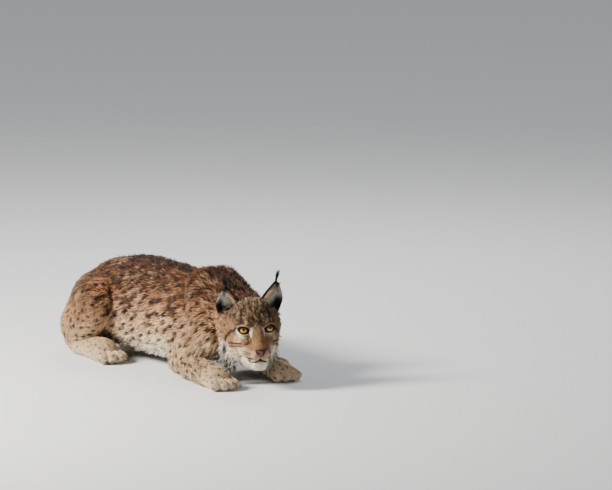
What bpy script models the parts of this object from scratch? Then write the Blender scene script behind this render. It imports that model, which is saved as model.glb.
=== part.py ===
"""A Eurasian lynx at life size, crouched low with its legs folded and its head turned to its right.

Metres, +Z up. The body lies along X with the head at +X, and the animal's left side is +Y.
The floor is z = 0, and every foot and both forearms end on it in small flats.
The flesh is fused from balls and capsules, then divided into nodes by thin curved cuts.
"""

import math
import random

import bmesh
import bpy
from mathutils import Euler, Matrix, Vector
from mathutils.bvhtree import BVHTree

# Clearances and common values
GAP = 0.0003  # between two nodes that meet
CUT_GAP = 0.0006  # between a finer node and the flesh that is cut round it
SIDES = {"left": 1.0, "right": -1.0}
BOX_CENTRE = Vector((0.0559, 0.0, 0.0))  # moved to the origin at the end
BALL_LEVEL = 3  # subdivisions of the balls that shapes are made of
SMALL_BALL_LEVEL = 2

# The trunk: x, z and radius of the balls along the spine, coat included
TRUNK = (
    (-0.285, 0.130, 0.096),
    (-0.215, 0.140, 0.118),
    (-0.115, 0.148, 0.129),
    (0.020, 0.146, 0.128),
    (0.140, 0.140, 0.117),
    (0.250, 0.138, 0.096),
)
TRUNK_WIDTH = 0.94  # of its height
WITHERS = (
    (0.130, 0.000, 0.195, 0.065),
    (0.200, 0.000, 0.232, 0.056),
    (0.265, 0.000, 0.196, 0.062),
)
NECK = (
    (0.230, -0.004, 0.184, 0.084),
    (0.300, -0.016, 0.163, 0.071),
    (0.375, -0.028, 0.142, 0.064),
)

# One side's limbs, as balls: x, y, z and radius. The other side is their mirror image
HAUNCH = (
    (-0.250, 0.045, 0.138, 0.087),
    (-0.205, 0.085, 0.147, 0.078),
    (-0.150, 0.128, 0.158, 0.056),
)
BUTTOCK = (
    (-0.250, 0.045, 0.138, 0.087),
    (-0.264, 0.090, 0.081, 0.070),
)
SHANK = (
    (-0.150, 0.128, 0.150, 0.054),
    (-0.215, 0.122, 0.098, 0.054),
    (-0.275, 0.108, 0.050, 0.042),
)
SHOULDER_BLADE = (
    (0.200, 0.030, 0.238, 0.046),
    (0.255, 0.056, 0.174, 0.053),
    (0.300, 0.078, 0.130, 0.049),
)
UPPER_ARM = (
    (0.300, 0.078, 0.130, 0.049),
    (0.258, 0.095, 0.098, 0.053),
    (0.215, 0.108, 0.058, 0.042),
)
FOREARM = (
    (0.215, 0.108, 0.048, 0.040),
    (0.300, 0.106, 0.040, 0.034),
    (0.385, 0.100, 0.033, 0.031),
)

# The regions that become the nodes of the limbs, as the hulls of balls
THIGH_REGION = (
    (-0.235, 0.075, 0.150, 0.082),
    (-0.150, 0.128, 0.165, 0.066),
    (-0.262, 0.095, 0.085, 0.072),
)
SHANK_REGION = (
    (-0.150, 0.130, 0.110, 0.066),
    (-0.275, 0.112, 0.045, 0.056),
)
UPPER_ARM_REGION = (
    (0.306, 0.090, 0.128, 0.058),
    (0.250, 0.104, 0.090, 0.056),
    (0.212, 0.112, 0.062, 0.048),
)
FOREARM_REGION = (
    (0.225, 0.112, 0.036, 0.044),
    (0.400, 0.100, 0.030, 0.050),
)
NECK_PLANE = Vector((0.285, 0.000, 0.160))  # where the neck leaves the trunk
NECK_SLOPE = math.radians(28.0)

# How much further forward and outward each forepaw lies than the tables say
ELBOW = 0.215
WRIST = 0.385
FORE_REACH = {"left": (-0.050, -0.014), "right": (-0.028, 0.030)}

# The feet: the leg's end, the middle and the ball of the foot, then the toes' fan
FOREPAW = (
    (0.392, 0.100, 0.030, 0.031),
    (0.428, 0.099, 0.027, 0.034),
)
FOREPAW_TOES = Vector((0.438, 0.099, 0.022))
HINDPAW = (
    (-0.268, 0.110, 0.033, 0.034),
    (-0.190, 0.121, 0.030, 0.032),
    (-0.120, 0.130, 0.029, 0.036),
)
HINDPAW_TOES = Vector((-0.108, 0.131, 0.024))
TOE_SPREAD = (-0.030, -0.0105, 0.0105, 0.030)  # sideways place of the four toes' ends
TOE_REACH = (0.026, 0.037, 0.037, 0.026)
TOE_ROOT_RADIUS = 0.018
TOE_TIP_RADIUS = 0.0155

# The short tail, curled round the left hip with its blunt tip on the floor
TAIL = (
    (-0.340, 0.004, 0.130, 0.034),
    (-0.376, 0.036, 0.094, 0.032),
    (-0.378, 0.076, 0.058, 0.031),
    (-0.358, 0.116, 0.035, 0.032),
    (-0.334, 0.148, 0.029, 0.031),
)

# The head's own frame: x out of the face, y to the animal's left, z to the crown
HEAD_PLACE = Vector((0.428, -0.0345, 0.1275))
HEAD_TURN = (math.radians(1.5), math.radians(0.0), math.radians(-20.5))  # roll, pitch, yaw
# The head's masses, each the hull of its balls. Those of the sides are made on both sides
CRANIUM = (
    (-0.022, 0.000, 0.034, 0.066),
    (-0.008, 0.000, 0.046, 0.060),
    (0.020, 0.018, 0.046, 0.036),
    (0.020, -0.018, 0.046, 0.036),
)
SIDE_OF_HEAD = (
    (0.016, 0.030, -0.002, 0.032),
    (-0.004, 0.029, -0.032, 0.028),
    (-0.034, 0.038, -0.014, 0.035),
    (-0.034, 0.053, 0.030, 0.034),
    (-0.036, 0.046, 0.046, 0.032),
)
CHEEKBONE = ((0.036, 0.029, 0.000, 0.021), (0.006, 0.046, 0.000, 0.024))
BROW = ((0.041, 0.020, 0.0475, 0.0105), (0.034, 0.044, 0.0475, 0.0105))
BRIDGE = ((0.028, 0.000, 0.040, 0.026), (0.041, 0.000, 0.015, 0.0235), (0.075, 0.000, -0.0145, 0.0175))
MUZZLE_SIDE = ((0.030, 0.026, -0.018, 0.021), (0.060, 0.0140, -0.027, 0.0175))
WHISKER_PAD = ((0.063, 0.0190, -0.0325, 0.0172), (0.075, 0.0140, -0.0320, 0.0150))
CHIN = ((0.016, 0.016, -0.050, 0.022), (0.0680, 0.0065, -0.0570, 0.0185))
LID_MASS = ((0.0385, 0.0325, 0.0325, 0.0178), (0.0300, 0.0310, 0.0320, 0.0200))
RUFF_CORE = ((-0.026, 0.046, -0.008, 0.027), (-0.038, 0.047, -0.040, 0.018), (-0.046, 0.045, -0.064, 0.009))
THROAT = ((-0.030, 0.000, -0.020, 0.056), (0.000, 0.000, -0.045, 0.038))
MIDDLE_MASSES = (CRANIUM, BRIDGE, THROAT)
SIDE_MASSES = (SIDE_OF_HEAD, CHEEKBONE, BROW, LID_MASS, MUZZLE_SIDE, WHISKER_PAD, RUFF_CORE)

EYE_PLACE = Vector((0.0405, 0.0330, 0.0320))
EYE_RADIUS = 0.0138
EYE_TURN_OUT = math.radians(14.0)
LID = 0.0022  # thickness
LID_OPENING = (0.0132, 0.0096, 0.0086)  # half width, height above and depth below the middle
LID_SLANT = math.radians(11.0)

NOSE = (
    (0.0870, 0.0112, -0.0180, 0.0040),
    (0.0870, -0.0112, -0.0180, 0.0040),
    (0.0890, 0.0045, -0.0305, 0.0034),
    (0.0890, -0.0045, -0.0305, 0.0034),
    (0.0930, 0.0000, -0.0210, 0.0052),
)
NOSTRIL = Vector((0.0955, 0.0072, -0.0240))
NOSTRIL_RADII = (0.0046, 0.0028, 0.0022)

MOUTH_HALF_ANGLE = math.radians(74.0)
MOUTH_PIVOT = Vector((0.046, 0.000))
MOUTH_HEIGHT = -0.0435
MOUTH_SAG = 0.0030  # under each whisker pad
MOUTH_STEPS = 12
LIP_RADIUS = 0.0027
TAPER_STEPS = 3  # of a lip or groove at each end
MOUTH_GROOVE = 0.0014

EAR_BASE = Vector((-0.026, 0.051, 0.066))
EAR_TIP = Vector((-0.016, 0.068, 0.140))
EAR_LEAN = 0.004  # of both tips, towards the animal's left
EAR_TURN_OUT = math.radians(18.0)
EAR_HALF_WIDTH = 0.030
EAR_BULGE = 0.14  # of the outer edge
EAR_ROOT = -0.22  # how far the ear goes on inside the head, of its length
EAR_DEPTH = 0.030
EAR_WALL = 0.0030
EAR_RINGS = 7
EAR_SIDES = 10
TUFT_LENGTH = 0.036

RUFF_ROWS = (-0.014, -0.034, -0.052)  # how far back each row of the ruff stands
RUFF_LOCKS = 6
RUFF_FROM = math.radians(12.0)
RUFF_TO = math.radians(-58.0)


def head_frame():
    return Matrix.Translation(HEAD_PLACE) @ Euler(HEAD_TURN).to_matrix().to_4x4()


def ball_points(level):
    """The corners of a unit ball."""
    mesh = bmesh.new()
    bmesh.ops.create_icosphere(mesh, subdivisions=level, radius=1.0)
    points = [corner.co.copy() for corner in mesh.verts]
    mesh.free()
    return points


BALL = {level: ball_points(level) for level in (SMALL_BALL_LEVEL, BALL_LEVEL)}


def clear_scene():
    for old in list(bpy.data.objects):
        bpy.data.objects.remove(old, do_unlink=True)


def hull(mesh, balls, squash=1.0, grow=0.0, level=BALL_LEVEL):
    """Adds the convex hull round balls, each x, y, z and radius."""
    points = []
    for x, y, z, radius in balls:
        place = Matrix.Translation((x, y, z)) @ Matrix.Diagonal((1.0, squash, 1.0, 1.0))
        points += [mesh.verts.new(place @ ((radius + grow) * corner)) for corner in BALL[level]]
    made = bmesh.ops.convex_hull(mesh, input=points)
    loose = made["geom_interior"] + made["geom_unused"]
    inside = {part for part in loose if isinstance(part, bmesh.types.BMVert)}
    bmesh.ops.delete(mesh, geom=list(inside), context="VERTS")


def chain(mesh, balls, squash=1.0):
    for first, second in zip(balls, balls[1:]):
        hull(mesh, (first, second), squash)


def ellipsoid(mesh, centre, radii, turn=None, level=BALL_LEVEL):
    place = Matrix.Translation(centre)
    if turn:
        place = place @ Euler(turn).to_matrix().to_4x4()
    place = place @ Matrix.Diagonal((*radii, 1.0))
    bmesh.ops.create_icosphere(mesh, subdivisions=level, radius=1.0, matrix=place)


def mirrored(balls, side, reach=(0.0, 0.0)):
    """The balls on one side of the animal, those past the elbow moved forward and outward by up to reach."""
    made = []
    for x, y, z, radius in balls:
        share = min(max((x - ELBOW) / (WRIST - ELBOW), 0.0), 1.0)
        made.append((x + reach[0] * share, side * (y + reach[1] * share), z, radius))
    return made


def solid_object(name, mesh):
    bmesh.ops.recalc_face_normals(mesh, faces=mesh.faces[:])
    data = bpy.data.meshes.new(name)
    mesh.to_mesh(data)
    mesh.free()
    made = bpy.data.objects.new(name, data)
    bpy.context.scene.collection.objects.link(made)
    return made


def hull_object(name, balls, grow=0.0):
    mesh = bmesh.new()
    hull(mesh, balls, grow=grow, level=SMALL_BALL_LEVEL)
    return solid_object(name, mesh)


def remove(thing):
    data = thing.data
    bpy.data.objects.remove(thing, do_unlink=True)
    bpy.data.meshes.remove(data)


def copy_of(thing, name):
    made = bpy.data.objects.new(name, thing.data.copy())
    bpy.context.scene.collection.objects.link(made)
    return made


def apply_modifiers(thing):
    """Replaces the object's mesh by the one its modifiers make."""
    graph = bpy.context.evaluated_depsgraph_get()
    graph.update()
    data = bpy.data.meshes.new_from_object(thing.evaluated_get(graph))
    thing.modifiers.clear()
    old = thing.data
    thing.data = data
    bpy.data.meshes.remove(old)
    return thing


def soften(thing, voxel, passes, triangles):
    """Fuses overlapping shapes into one skin, rounds its creases and thins it to a number of triangles."""
    remesh = thing.modifiers.new("fuse", "REMESH")
    remesh.mode = "VOXEL"
    remesh.voxel_size = voxel
    smooth = thing.modifiers.new("round", "SMOOTH")
    smooth.factor = 0.5
    smooth.iterations = passes
    apply_modifiers(thing)
    thin = thing.modifiers.new("thin", "DECIMATE")
    thin.ratio = min(1.0, triangles / (2 * len(thing.data.polygons)))
    return apply_modifiers(thing)


def combine(thing, other, operation, keep=False):
    """One Boolean of two closed solids, after which the second is removed."""
    boolean = thing.modifiers.new("combine", "BOOLEAN")
    boolean.operation = operation
    boolean.solver = "MANIFOLD"
    boolean.object = other
    apply_modifiers(thing)
    if not keep:
        remove(other)
    return thing


def grown(thing, by):
    """A copy of a smooth solid with its skin moved out."""
    made = copy_of(thing, "grown")
    normals = [corner.normal.copy() for corner in made.data.vertices]
    for corner, normal in zip(made.data.vertices, normals):
        corner.co += by * normal
    return made


def keep_largest(thing):
    """Leaves only the closed surface with the greatest volume."""
    mesh = bmesh.new()
    mesh.from_mesh(thing.data)
    bmesh.ops.triangulate(mesh, faces=mesh.faces[:])
    waiting = set(mesh.faces)
    islands = []
    while waiting:
        island = {waiting.pop()}
        border = list(island)
        while border:
            face = border.pop()
            for edge in face.edges:
                for near in edge.link_faces:
                    if near in waiting:
                        waiting.discard(near)
                        island.add(near)
                        border.append(near)
        islands.append(island)
    islands.sort(key=island_volume)
    for island in islands[:-1]:
        bmesh.ops.delete(mesh, geom=list(island), context="FACES")
    bmesh.ops.delete(mesh, geom=[corner for corner in mesh.verts if not corner.link_faces], context="VERTS")
    mesh.to_mesh(thing.data)
    mesh.free()
    return thing


def island_volume(island):
    total = 0.0
    for face in island:
        first, second, third = (corner.co for corner in face.verts)
        total += first.dot(second.cross(third)) / 6.0
    return total


def divide(rest, name, balls):
    """Takes the part of the flesh inside a hull of balls away as a node of its own."""
    piece = copy_of(rest, name)
    combine(piece, hull_object("region", balls), "INTERSECT")
    keep_largest(piece)
    combine(rest, hull_object("region", balls, grow=GAP), "DIFFERENCE")
    return piece


def cut_at_floor(thing):
    mesh = bmesh.new()
    below = Matrix.Translation((0.0, 0.0, -0.5)) @ Matrix.Diagonal((4.0, 4.0, 1.0, 1.0))
    bmesh.ops.create_cube(mesh, size=1.0, matrix=below)
    combine(thing, solid_object("floor", mesh), "DIFFERENCE")
    return keep_largest(thing)


def rings_mesh(rings):
    """A closed skin through rings of points that all have the same number of points."""
    mesh = bmesh.new()
    made = [[mesh.verts.new(point) for point in ring] for ring in rings]
    count = len(rings[0])
    for low, high in zip(made, made[1:]):
        for i in range(count):
            j = (i + 1) % count
            mesh.faces.new((low[i], low[j], high[j], high[i]))
    mesh.faces.new(made[0][::-1])
    mesh.faces.new(made[-1])
    bmesh.ops.triangulate(mesh, faces=mesh.faces[:])
    return mesh


def tube(points, radius, sides=6):
    """A round tube along points, with tapered ends."""
    rings = []
    for i, point in enumerate(points):
        along = (points[min(i + 1, len(points) - 1)] - points[max(i - 1, 0)]).normalized()
        across = along.cross(Vector((0.0, 0.0, 1.0)))
        if across.length < 0.3:
            across = along.cross(Vector((0.0, 1.0, 0.0)))
        across.normalize()
        other = across.cross(along)
        ends = min(i, len(points) - 1 - i) / TAPER_STEPS
        width = radius * (0.25 + 0.75 * min(ends, 1.0))
        turns = [2.0 * math.pi * j / sides for j in range(sides)]
        rings.append([point + width * (math.cos(a) * across + math.sin(a) * other) for a in turns])
    return rings_mesh(rings)


def lock(root, way, out, length, width, thickness, bend):
    """A flat tapered lock that leaves root along way and bends towards out."""
    side = way.cross(out).normalized()
    face = side.cross(way).normalized()
    rings = []
    for place, share in ((0.0, 0.8), (0.5, 0.95), (1.0, 0.08)):
        middle = root + way * (length * place) + face * (bend * place * place)
        across = side * (width * share / 2.0)
        through = face * (thickness * share / 2.0)
        rings.append([middle + across, middle + through, middle - across, middle - through])
    return solid_object("lock", rings_mesh(rings))


def join_locks(thing, locks):
    """Unites a node with the locks that grow from it."""
    group = bpy.data.collections.new("locks")
    bpy.context.scene.collection.children.link(group)
    for piece in locks:
        bpy.context.scene.collection.objects.unlink(piece)
        group.objects.link(piece)
    boolean = thing.modifiers.new("locks", "BOOLEAN")
    boolean.operation = "UNION"
    boolean.solver = "MANIFOLD"
    boolean.operand_type = "COLLECTION"
    boolean.collection = group
    apply_modifiers(thing)
    for piece in locks:
        remove(piece)
    bpy.data.collections.remove(group)
    return thing


def flesh():
    """Trunk, neck and limbs as one skin."""
    mesh = bmesh.new()
    chain(mesh, [(x, 0.0, z, radius) for x, z, radius in TRUNK], squash=TRUNK_WIDTH)
    chain(mesh, WITHERS)
    chain(mesh, NECK)
    for name, side in SIDES.items():
        for balls in (HAUNCH, BUTTOCK, SHANK, SHOULDER_BLADE, UPPER_ARM):
            chain(mesh, mirrored(balls, side))
        chain(mesh, mirrored(FOREARM, side, FORE_REACH[name]))
    return cut_at_floor(soften(solid_object("torso", mesh), 0.010, 8, 1560))


def paw(name, balls, toes, side, reach=(0.0, 0.0)):
    mesh = bmesh.new()
    chain(mesh, mirrored(balls, side, reach))
    for across, ahead in zip(TOE_SPREAD, TOE_REACH):
        x, y = toes.x + reach[0], toes.y + reach[1]
        first = (x, side * (y + 0.7 * across), toes.z + 0.002, TOE_ROOT_RADIUS)
        second = (x + ahead, side * (y + across), toes.z - 0.007, TOE_TIP_RADIUS)
        hull(mesh, (first, second))
    return cut_at_floor(soften(solid_object(name, mesh), 0.0035, 3, 340))


def tail():
    mesh = bmesh.new()
    chain(mesh, TAIL)
    return cut_at_floor(soften(solid_object("tail", mesh), 0.006, 4, 240))


def surface_of(thing):
    mesh = bmesh.new()
    mesh.from_mesh(thing.data)
    tree = BVHTree.FromBMesh(mesh)
    mesh.free()
    return tree


def mouth_line(surface, rise):
    """Points on the muzzle along the line where the lips meet, raised by rise."""
    points = []
    for step in range(MOUTH_STEPS + 1):
        turn = MOUTH_HALF_ANGLE * (2.0 * step / MOUTH_STEPS - 1.0)
        out = Vector((math.cos(turn), math.sin(turn), 0.0))
        sag = MOUTH_SAG * math.sin(min(abs(turn) * 2.0, math.pi / 2.0))
        start = Vector((MOUTH_PIVOT.x, MOUTH_PIVOT.y, MOUTH_HEIGHT - sag + rise)) + 0.1 * out
        hit = surface.ray_cast(start, -out)[0]
        points.append(hit)
    return points


def eye_frame(side):
    place = Vector((EYE_PLACE.x, side * EYE_PLACE.y, EYE_PLACE.z))
    return Matrix.Translation(place) @ Matrix.Rotation(side * EYE_TURN_OUT, 4, "Z")


def lid_opening(side):
    """The almond between the lids, as a prism from inside the eye to the open air."""
    half, above, below = LID_OPENING
    steps = 8
    outline = []
    for i in range(2 * steps):
        turn = math.pi * i / steps
        y = half * math.cos(turn)
        edge = abs(math.sin(turn)) ** 1.4
        outline.append(Vector((y, above * edge if turn < math.pi else -below * edge)))
    slant = Matrix.Rotation(side * LID_SLANT, 4, "X")
    frame = eye_frame(side) @ slant
    rings = [[frame @ Vector((x, p.x, p.y)) for p in outline] for x in (0.003, 0.032)]
    return solid_object("opening", rings_mesh(rings))


def head():
    """The head with lids, lips and the line of the mouth, in its own frame."""
    mesh = bmesh.new()
    for balls in MIDDLE_MASSES:
        hull(mesh, balls)
    for side in SIDES.values():
        for balls in SIDE_MASSES:
            hull(mesh, mirrored(balls, side))
    hull(mesh, CHIN + tuple(mirrored(CHIN, -1.0)))
    made = soften(solid_object("head", mesh), 0.0032, 11, 1420)
    surface = surface_of(made)
    for rise in (0.0028, -0.0028):
        inward = [p - Vector((0.0012, 0.0, 0.0)) for p in mouth_line(surface, rise)]
        combine(made, solid_object("lip", tube(inward, LIP_RADIUS)), "UNION")
    for side in SIDES.values():
        mesh = bmesh.new()
        ellipsoid(mesh, eye_frame(side).translation, [EYE_RADIUS + LID] * 3)
        combine(made, solid_object("lids", mesh), "UNION")
    combine(made, solid_object("groove", tube(mouth_line(surface, 0.0), MOUTH_GROOVE)), "DIFFERENCE")
    groove = []
    for z in (-0.029, -0.034, -0.039, -0.043):
        groove.append(surface.ray_cast(Vector((0.2, 0.0, z)), Vector((-1.0, 0.0, 0.0)))[0])
    combine(made, solid_object("groove", tube(groove, 0.0011, 6)), "DIFFERENCE")
    for side in SIDES.values():
        mesh = bmesh.new()
        ellipsoid(mesh, eye_frame(side).translation, [EYE_RADIUS + GAP] * 3)
        combine(made, solid_object("socket", mesh), "DIFFERENCE")
        combine(made, lid_opening(side), "DIFFERENCE")
    return keep_largest(made)


def nose():
    mesh = bmesh.new()
    hull(mesh, NOSE, level=BALL_LEVEL)
    made = soften(solid_object("nose", mesh), 0.0012, 3, 150)
    cutter = grown(made, GAP)
    for side in SIDES.values():
        mesh = bmesh.new()
        place = (NOSTRIL.x, side * NOSTRIL.y, NOSTRIL.z)
        ellipsoid(mesh, place, NOSTRIL_RADII, (side * 0.5, 0.0, side * 0.5), SMALL_BALL_LEVEL)
        combine(made, solid_object("nostril", mesh), "DIFFERENCE")
    return made, cutter


def ear_tip(side):
    return Vector((EAR_TIP.x, side * EAR_TIP.y + EAR_LEAN, EAR_TIP.z))


def ear_rings(side, wall, forward, first, last, bowl=False):
    """Rings of one ear's outline, drawn in by wall and moved out of the cup by forward."""
    base = Vector((EAR_BASE.x, side * EAR_BASE.y, EAR_BASE.z))
    tip = ear_tip(side)
    up = (tip - base).normalized()
    face = Vector((math.cos(EAR_TURN_OUT), side * math.sin(EAR_TURN_OUT), 0.0))
    face = (face - up * face.dot(up)).normalized()
    across = side * up.cross(face).normalized()
    rings = []
    for step in range(EAR_RINGS + 1):
        t = first + (last - first) * step / EAR_RINGS
        part = max(t, 0.0)
        inner = -EAR_HALF_WIDTH * (1.0 - part) ** 0.68
        outer = EAR_HALF_WIDTH * (1.0 - part**3.2) * (1.0 + EAR_BULGE * math.sin(math.pi * part))
        share = (0.45, 0.80, 1.0)[min(step, 2)] if bowl else (0.60, 1.0)[min(step, 1)]
        half = share * (max((outer - inner) / 2.0, 0.0025) - wall)
        depth = share * (max(EAR_DEPTH * (1.0 - part) ** 0.7, 0.0025) - wall)
        middle = base + (tip - base) * t + across * ((outer + inner) / 2.0)
        ring = []
        for i in range(EAR_SIDES):
            turn = 2.0 * math.pi * i / EAR_SIDES
            back = math.sin(turn)
            reach = -depth * back if back > 0.0 else -(0.0035 + forward) * back
            ring.append(middle + across * (half * math.cos(turn)) + face * reach)
        rings.append(ring)
    return rings


def ear(name, side):
    """A cupped ear with a black tuft, in the head's frame."""
    made = solid_object(name, rings_mesh(ear_rings(side, 0.0, 0.0, EAR_ROOT, 1.0)))
    cup = solid_object("cup", rings_mesh(ear_rings(side, EAR_WALL, 0.012, 0.08, 0.93, bowl=True)))
    combine(made, cup, "DIFFERENCE")
    keep_largest(made)
    cutter = solid_object("cutter", rings_mesh(ear_rings(side, -CUT_GAP, CUT_GAP, EAR_ROOT - 0.01, 1.0)))
    random.seed(5)
    tip = ear_tip(side)
    locks = []
    for i in range(4):
        turn = math.radians(90.0 * i + random.uniform(-15.0, 15.0))
        out = Vector((math.cos(turn), math.sin(turn), 0.0))
        root = tip + 0.0014 * out - Vector((0.0, 0.0, 0.009))
        way = Vector((-0.05, side * 0.08, 1.0)) + 0.03 * out
        length = TUFT_LENGTH * random.uniform(0.70, 1.0) + 0.009
        locks.append(lock(root, way.normalized(), out, length, 0.0070, 0.0036, -0.0024))
    join_locks(made, locks)
    return keep_largest(made), cutter


def ruff(surface):
    """The long locks of both cheeks, in the head's frame."""
    random.seed(11)
    locks = []
    for side in SIDES.values():
        for row, stand in enumerate(RUFF_ROWS):
            for i in range(RUFF_LOCKS):
                share = (i + 0.5 * (row % 2) + random.uniform(-0.15, 0.15)) / RUFF_LOCKS
                turn = RUFF_FROM + (RUFF_TO - RUFF_FROM) * share
                out = Vector((0.0, side * math.cos(turn), math.sin(turn)))
                start = Vector((stand, 0.0, -0.012)) + 0.2 * out
                hit, normal = surface.ray_cast(start, -out)[:2]
                way = Vector((-0.62, 0.30 * side, -0.72)).lerp(Vector((-0.30, 0.05 * side, -1.0)), share)
                way = (way + Vector([random.uniform(-0.07, 0.07) for _ in range(3)])).normalized()
                length = 0.032 + 0.024 * math.sin(math.pi * min(share + 0.20, 1.0))
                length *= random.uniform(0.88, 1.1)
                root = hit - 0.005 * normal - 0.006 * way
                width = random.uniform(0.020, 0.026)
                facing = Vector((0.55, 0.85 * side, 0.10))
                locks.append(lock(root, way, facing, length + 0.010, width, 0.0075, -0.006))
    return locks


def place(thing, frame):
    thing.data.transform(frame)
    return thing


def main():
    clear_scene()
    torso = flesh()
    skull = head()
    surface = surface_of(skull)
    frame = head_frame()
    combine(torso, place(grown(skull, CUT_GAP), frame), "DIFFERENCE")
    snout, snout_cutter = nose()
    combine(skull, snout_cutter, "DIFFERENCE")
    place(snout, frame)
    for name, side in SIDES.items():
        shell, cutter = ear("ear_" + name, side)
        combine(skull, cutter, "DIFFERENCE", keep=True)
        place(shell, frame)
        combine(torso, place(cutter, frame), "DIFFERENCE")
        mesh = bmesh.new()
        ellipsoid(mesh, eye_frame(side).translation, [EYE_RADIUS] * 3)
        place(solid_object("eye_" + name, mesh), frame)
    locks = ruff(surface)
    place(skull, frame)
    for piece in locks:
        place(piece, frame)

    paws = []
    for name, side in SIDES.items():
        paws.append(paw("forepaw_" + name, FOREPAW, FOREPAW_TOES, side, FORE_REACH[name]))
        paws.append(paw("hindpaw_" + name, HINDPAW, HINDPAW_TOES, side))
    paws.append(tail())
    for piece in paws:
        combine(torso, grown(piece, CUT_GAP), "DIFFERENCE")
    keep_largest(torso)

    for near in [torso] + paws[:4]:
        cutter = grown(near, GAP)
        for piece in locks:
            combine(piece, cutter, "DIFFERENCE", keep=True)
        remove(cutter)
    join_locks(skull, [piece for piece in locks if len(piece.data.polygons)])
    keep_largest(skull)

    for name, side in SIDES.items():
        divide(torso, "forearm_" + name, mirrored(FOREARM_REGION, side, FORE_REACH[name]))
        divide(torso, "upper_arm_" + name, mirrored(UPPER_ARM_REGION, side))
        divide(torso, "thigh_" + name, mirrored(THIGH_REGION, side))
        divide(torso, "shank_" + name, mirrored(SHANK_REGION, side))
    neck = copy_of(torso, "neck")
    slope = Matrix.Translation(NECK_PLANE) @ Matrix.Rotation(NECK_SLOPE, 4, "Y")
    for thing, operation, shift in ((neck, "INTERSECT", 0.5), (torso, "DIFFERENCE", 0.5 - GAP)):
        mesh = bmesh.new()
        bmesh.ops.create_cube(mesh, size=1.0, matrix=slope @ Matrix.Translation((shift, 0.0, 0.0)))
        combine(thing, solid_object("front", mesh), operation)
        keep_largest(thing)

    for thing in bpy.context.scene.objects:
        thing.data.transform(Matrix.Translation(-BOX_CENTRE))


main()
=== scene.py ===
"""A Eurasian lynx as a museum shows it: skin, coat, eyes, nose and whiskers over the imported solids.

The skin is fused from the same named balls as the solids, drawn in by the depth of the coat. The coat is
made of closed tufts that start on the skin and lie along it, with their tips at the solids' surface.
"""

import math

import bmesh
import bpy
import numpy as np
from mathutils import Euler, Matrix, Vector
from mathutils.bvhtree import BVHTree
from mathutils.kdtree import KDTree


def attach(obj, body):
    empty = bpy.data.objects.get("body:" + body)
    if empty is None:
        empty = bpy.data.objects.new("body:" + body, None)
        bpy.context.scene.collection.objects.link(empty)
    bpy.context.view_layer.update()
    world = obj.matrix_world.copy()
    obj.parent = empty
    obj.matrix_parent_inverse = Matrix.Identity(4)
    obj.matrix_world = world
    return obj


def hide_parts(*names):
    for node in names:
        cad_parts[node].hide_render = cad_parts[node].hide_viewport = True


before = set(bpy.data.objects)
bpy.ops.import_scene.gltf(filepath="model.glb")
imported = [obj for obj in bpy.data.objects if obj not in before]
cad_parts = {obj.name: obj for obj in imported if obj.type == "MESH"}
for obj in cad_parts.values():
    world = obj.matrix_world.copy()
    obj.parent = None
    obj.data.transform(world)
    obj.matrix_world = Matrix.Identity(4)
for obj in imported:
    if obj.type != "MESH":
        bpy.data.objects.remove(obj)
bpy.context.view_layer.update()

SIDES = {"left": 1.0, "right": -1.0}
random = np.random.default_rng(20)

# Places and sizes that the solids have too, in metres, before their box is centred. A ball is its middle
# and its radius
BOX_CENTRE = np.array((0.0559, 0.0, 0.0))
TRUNK = (
    (-0.285, 0.0, 0.130, 0.096),
    (-0.215, 0.0, 0.140, 0.118),
    (-0.115, 0.0, 0.148, 0.129),
    (0.020, 0.0, 0.146, 0.128),
    (0.140, 0.0, 0.140, 0.117),
    (0.250, 0.0, 0.138, 0.096),
)
TRUNK_WIDTH = 0.94
WITHERS = ((0.130, 0.000, 0.195, 0.065), (0.200, 0.000, 0.232, 0.056), (0.265, 0.000, 0.196, 0.062))
NECK = ((0.230, -0.004, 0.184, 0.084), (0.300, -0.016, 0.163, 0.071), (0.375, -0.028, 0.142, 0.064))
HAUNCH = ((-0.250, 0.045, 0.138, 0.087), (-0.205, 0.085, 0.147, 0.078), (-0.150, 0.128, 0.158, 0.056))
BUTTOCK = ((-0.250, 0.045, 0.138, 0.087), (-0.264, 0.090, 0.081, 0.070))
SHANK = ((-0.150, 0.128, 0.150, 0.054), (-0.215, 0.122, 0.098, 0.054), (-0.275, 0.108, 0.050, 0.042))
SHOULDER_BLADE = (
    (0.200, 0.030, 0.238, 0.046),
    (0.255, 0.056, 0.174, 0.053),
    (0.300, 0.078, 0.130, 0.049),
)
UPPER_ARM = ((0.300, 0.078, 0.130, 0.049), (0.258, 0.095, 0.098, 0.053), (0.215, 0.108, 0.058, 0.042))
FOREARM = ((0.215, 0.108, 0.048, 0.040), (0.300, 0.106, 0.040, 0.034), (0.385, 0.100, 0.033, 0.031))
ELBOW = 0.215
WRIST = 0.385
FORE_REACH = {"left": (-0.050, -0.014), "right": (-0.028, 0.030)}
FOREPAW = ((0.392, 0.100, 0.030, 0.031), (0.428, 0.099, 0.027, 0.034))
FOREPAW_TOES = (0.438, 0.099, 0.022)
HINDPAW = ((-0.268, 0.110, 0.033, 0.034), (-0.190, 0.121, 0.030, 0.032), (-0.120, 0.130, 0.029, 0.036))
HINDPAW_TOES = (-0.108, 0.131, 0.024)
TOE_SPREAD = (-0.030, -0.0105, 0.0105, 0.030)
TOE_REACH = (0.026, 0.037, 0.037, 0.026)
TOE_ROOT_SPREAD = 0.7  # of the toes' own spread
TOE_ROOT_RISE = 0.002
TOE_TIP_DROP = 0.007
TOE_ROOT_RADIUS = 0.018
TOE_TIP_RADIUS = 0.0155
TAIL = (
    (-0.340, 0.004, 0.130, 0.034),
    (-0.376, 0.036, 0.094, 0.032),
    (-0.378, 0.076, 0.058, 0.031),
    (-0.358, 0.116, 0.035, 0.032),
    (-0.334, 0.148, 0.029, 0.031),
)

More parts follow.
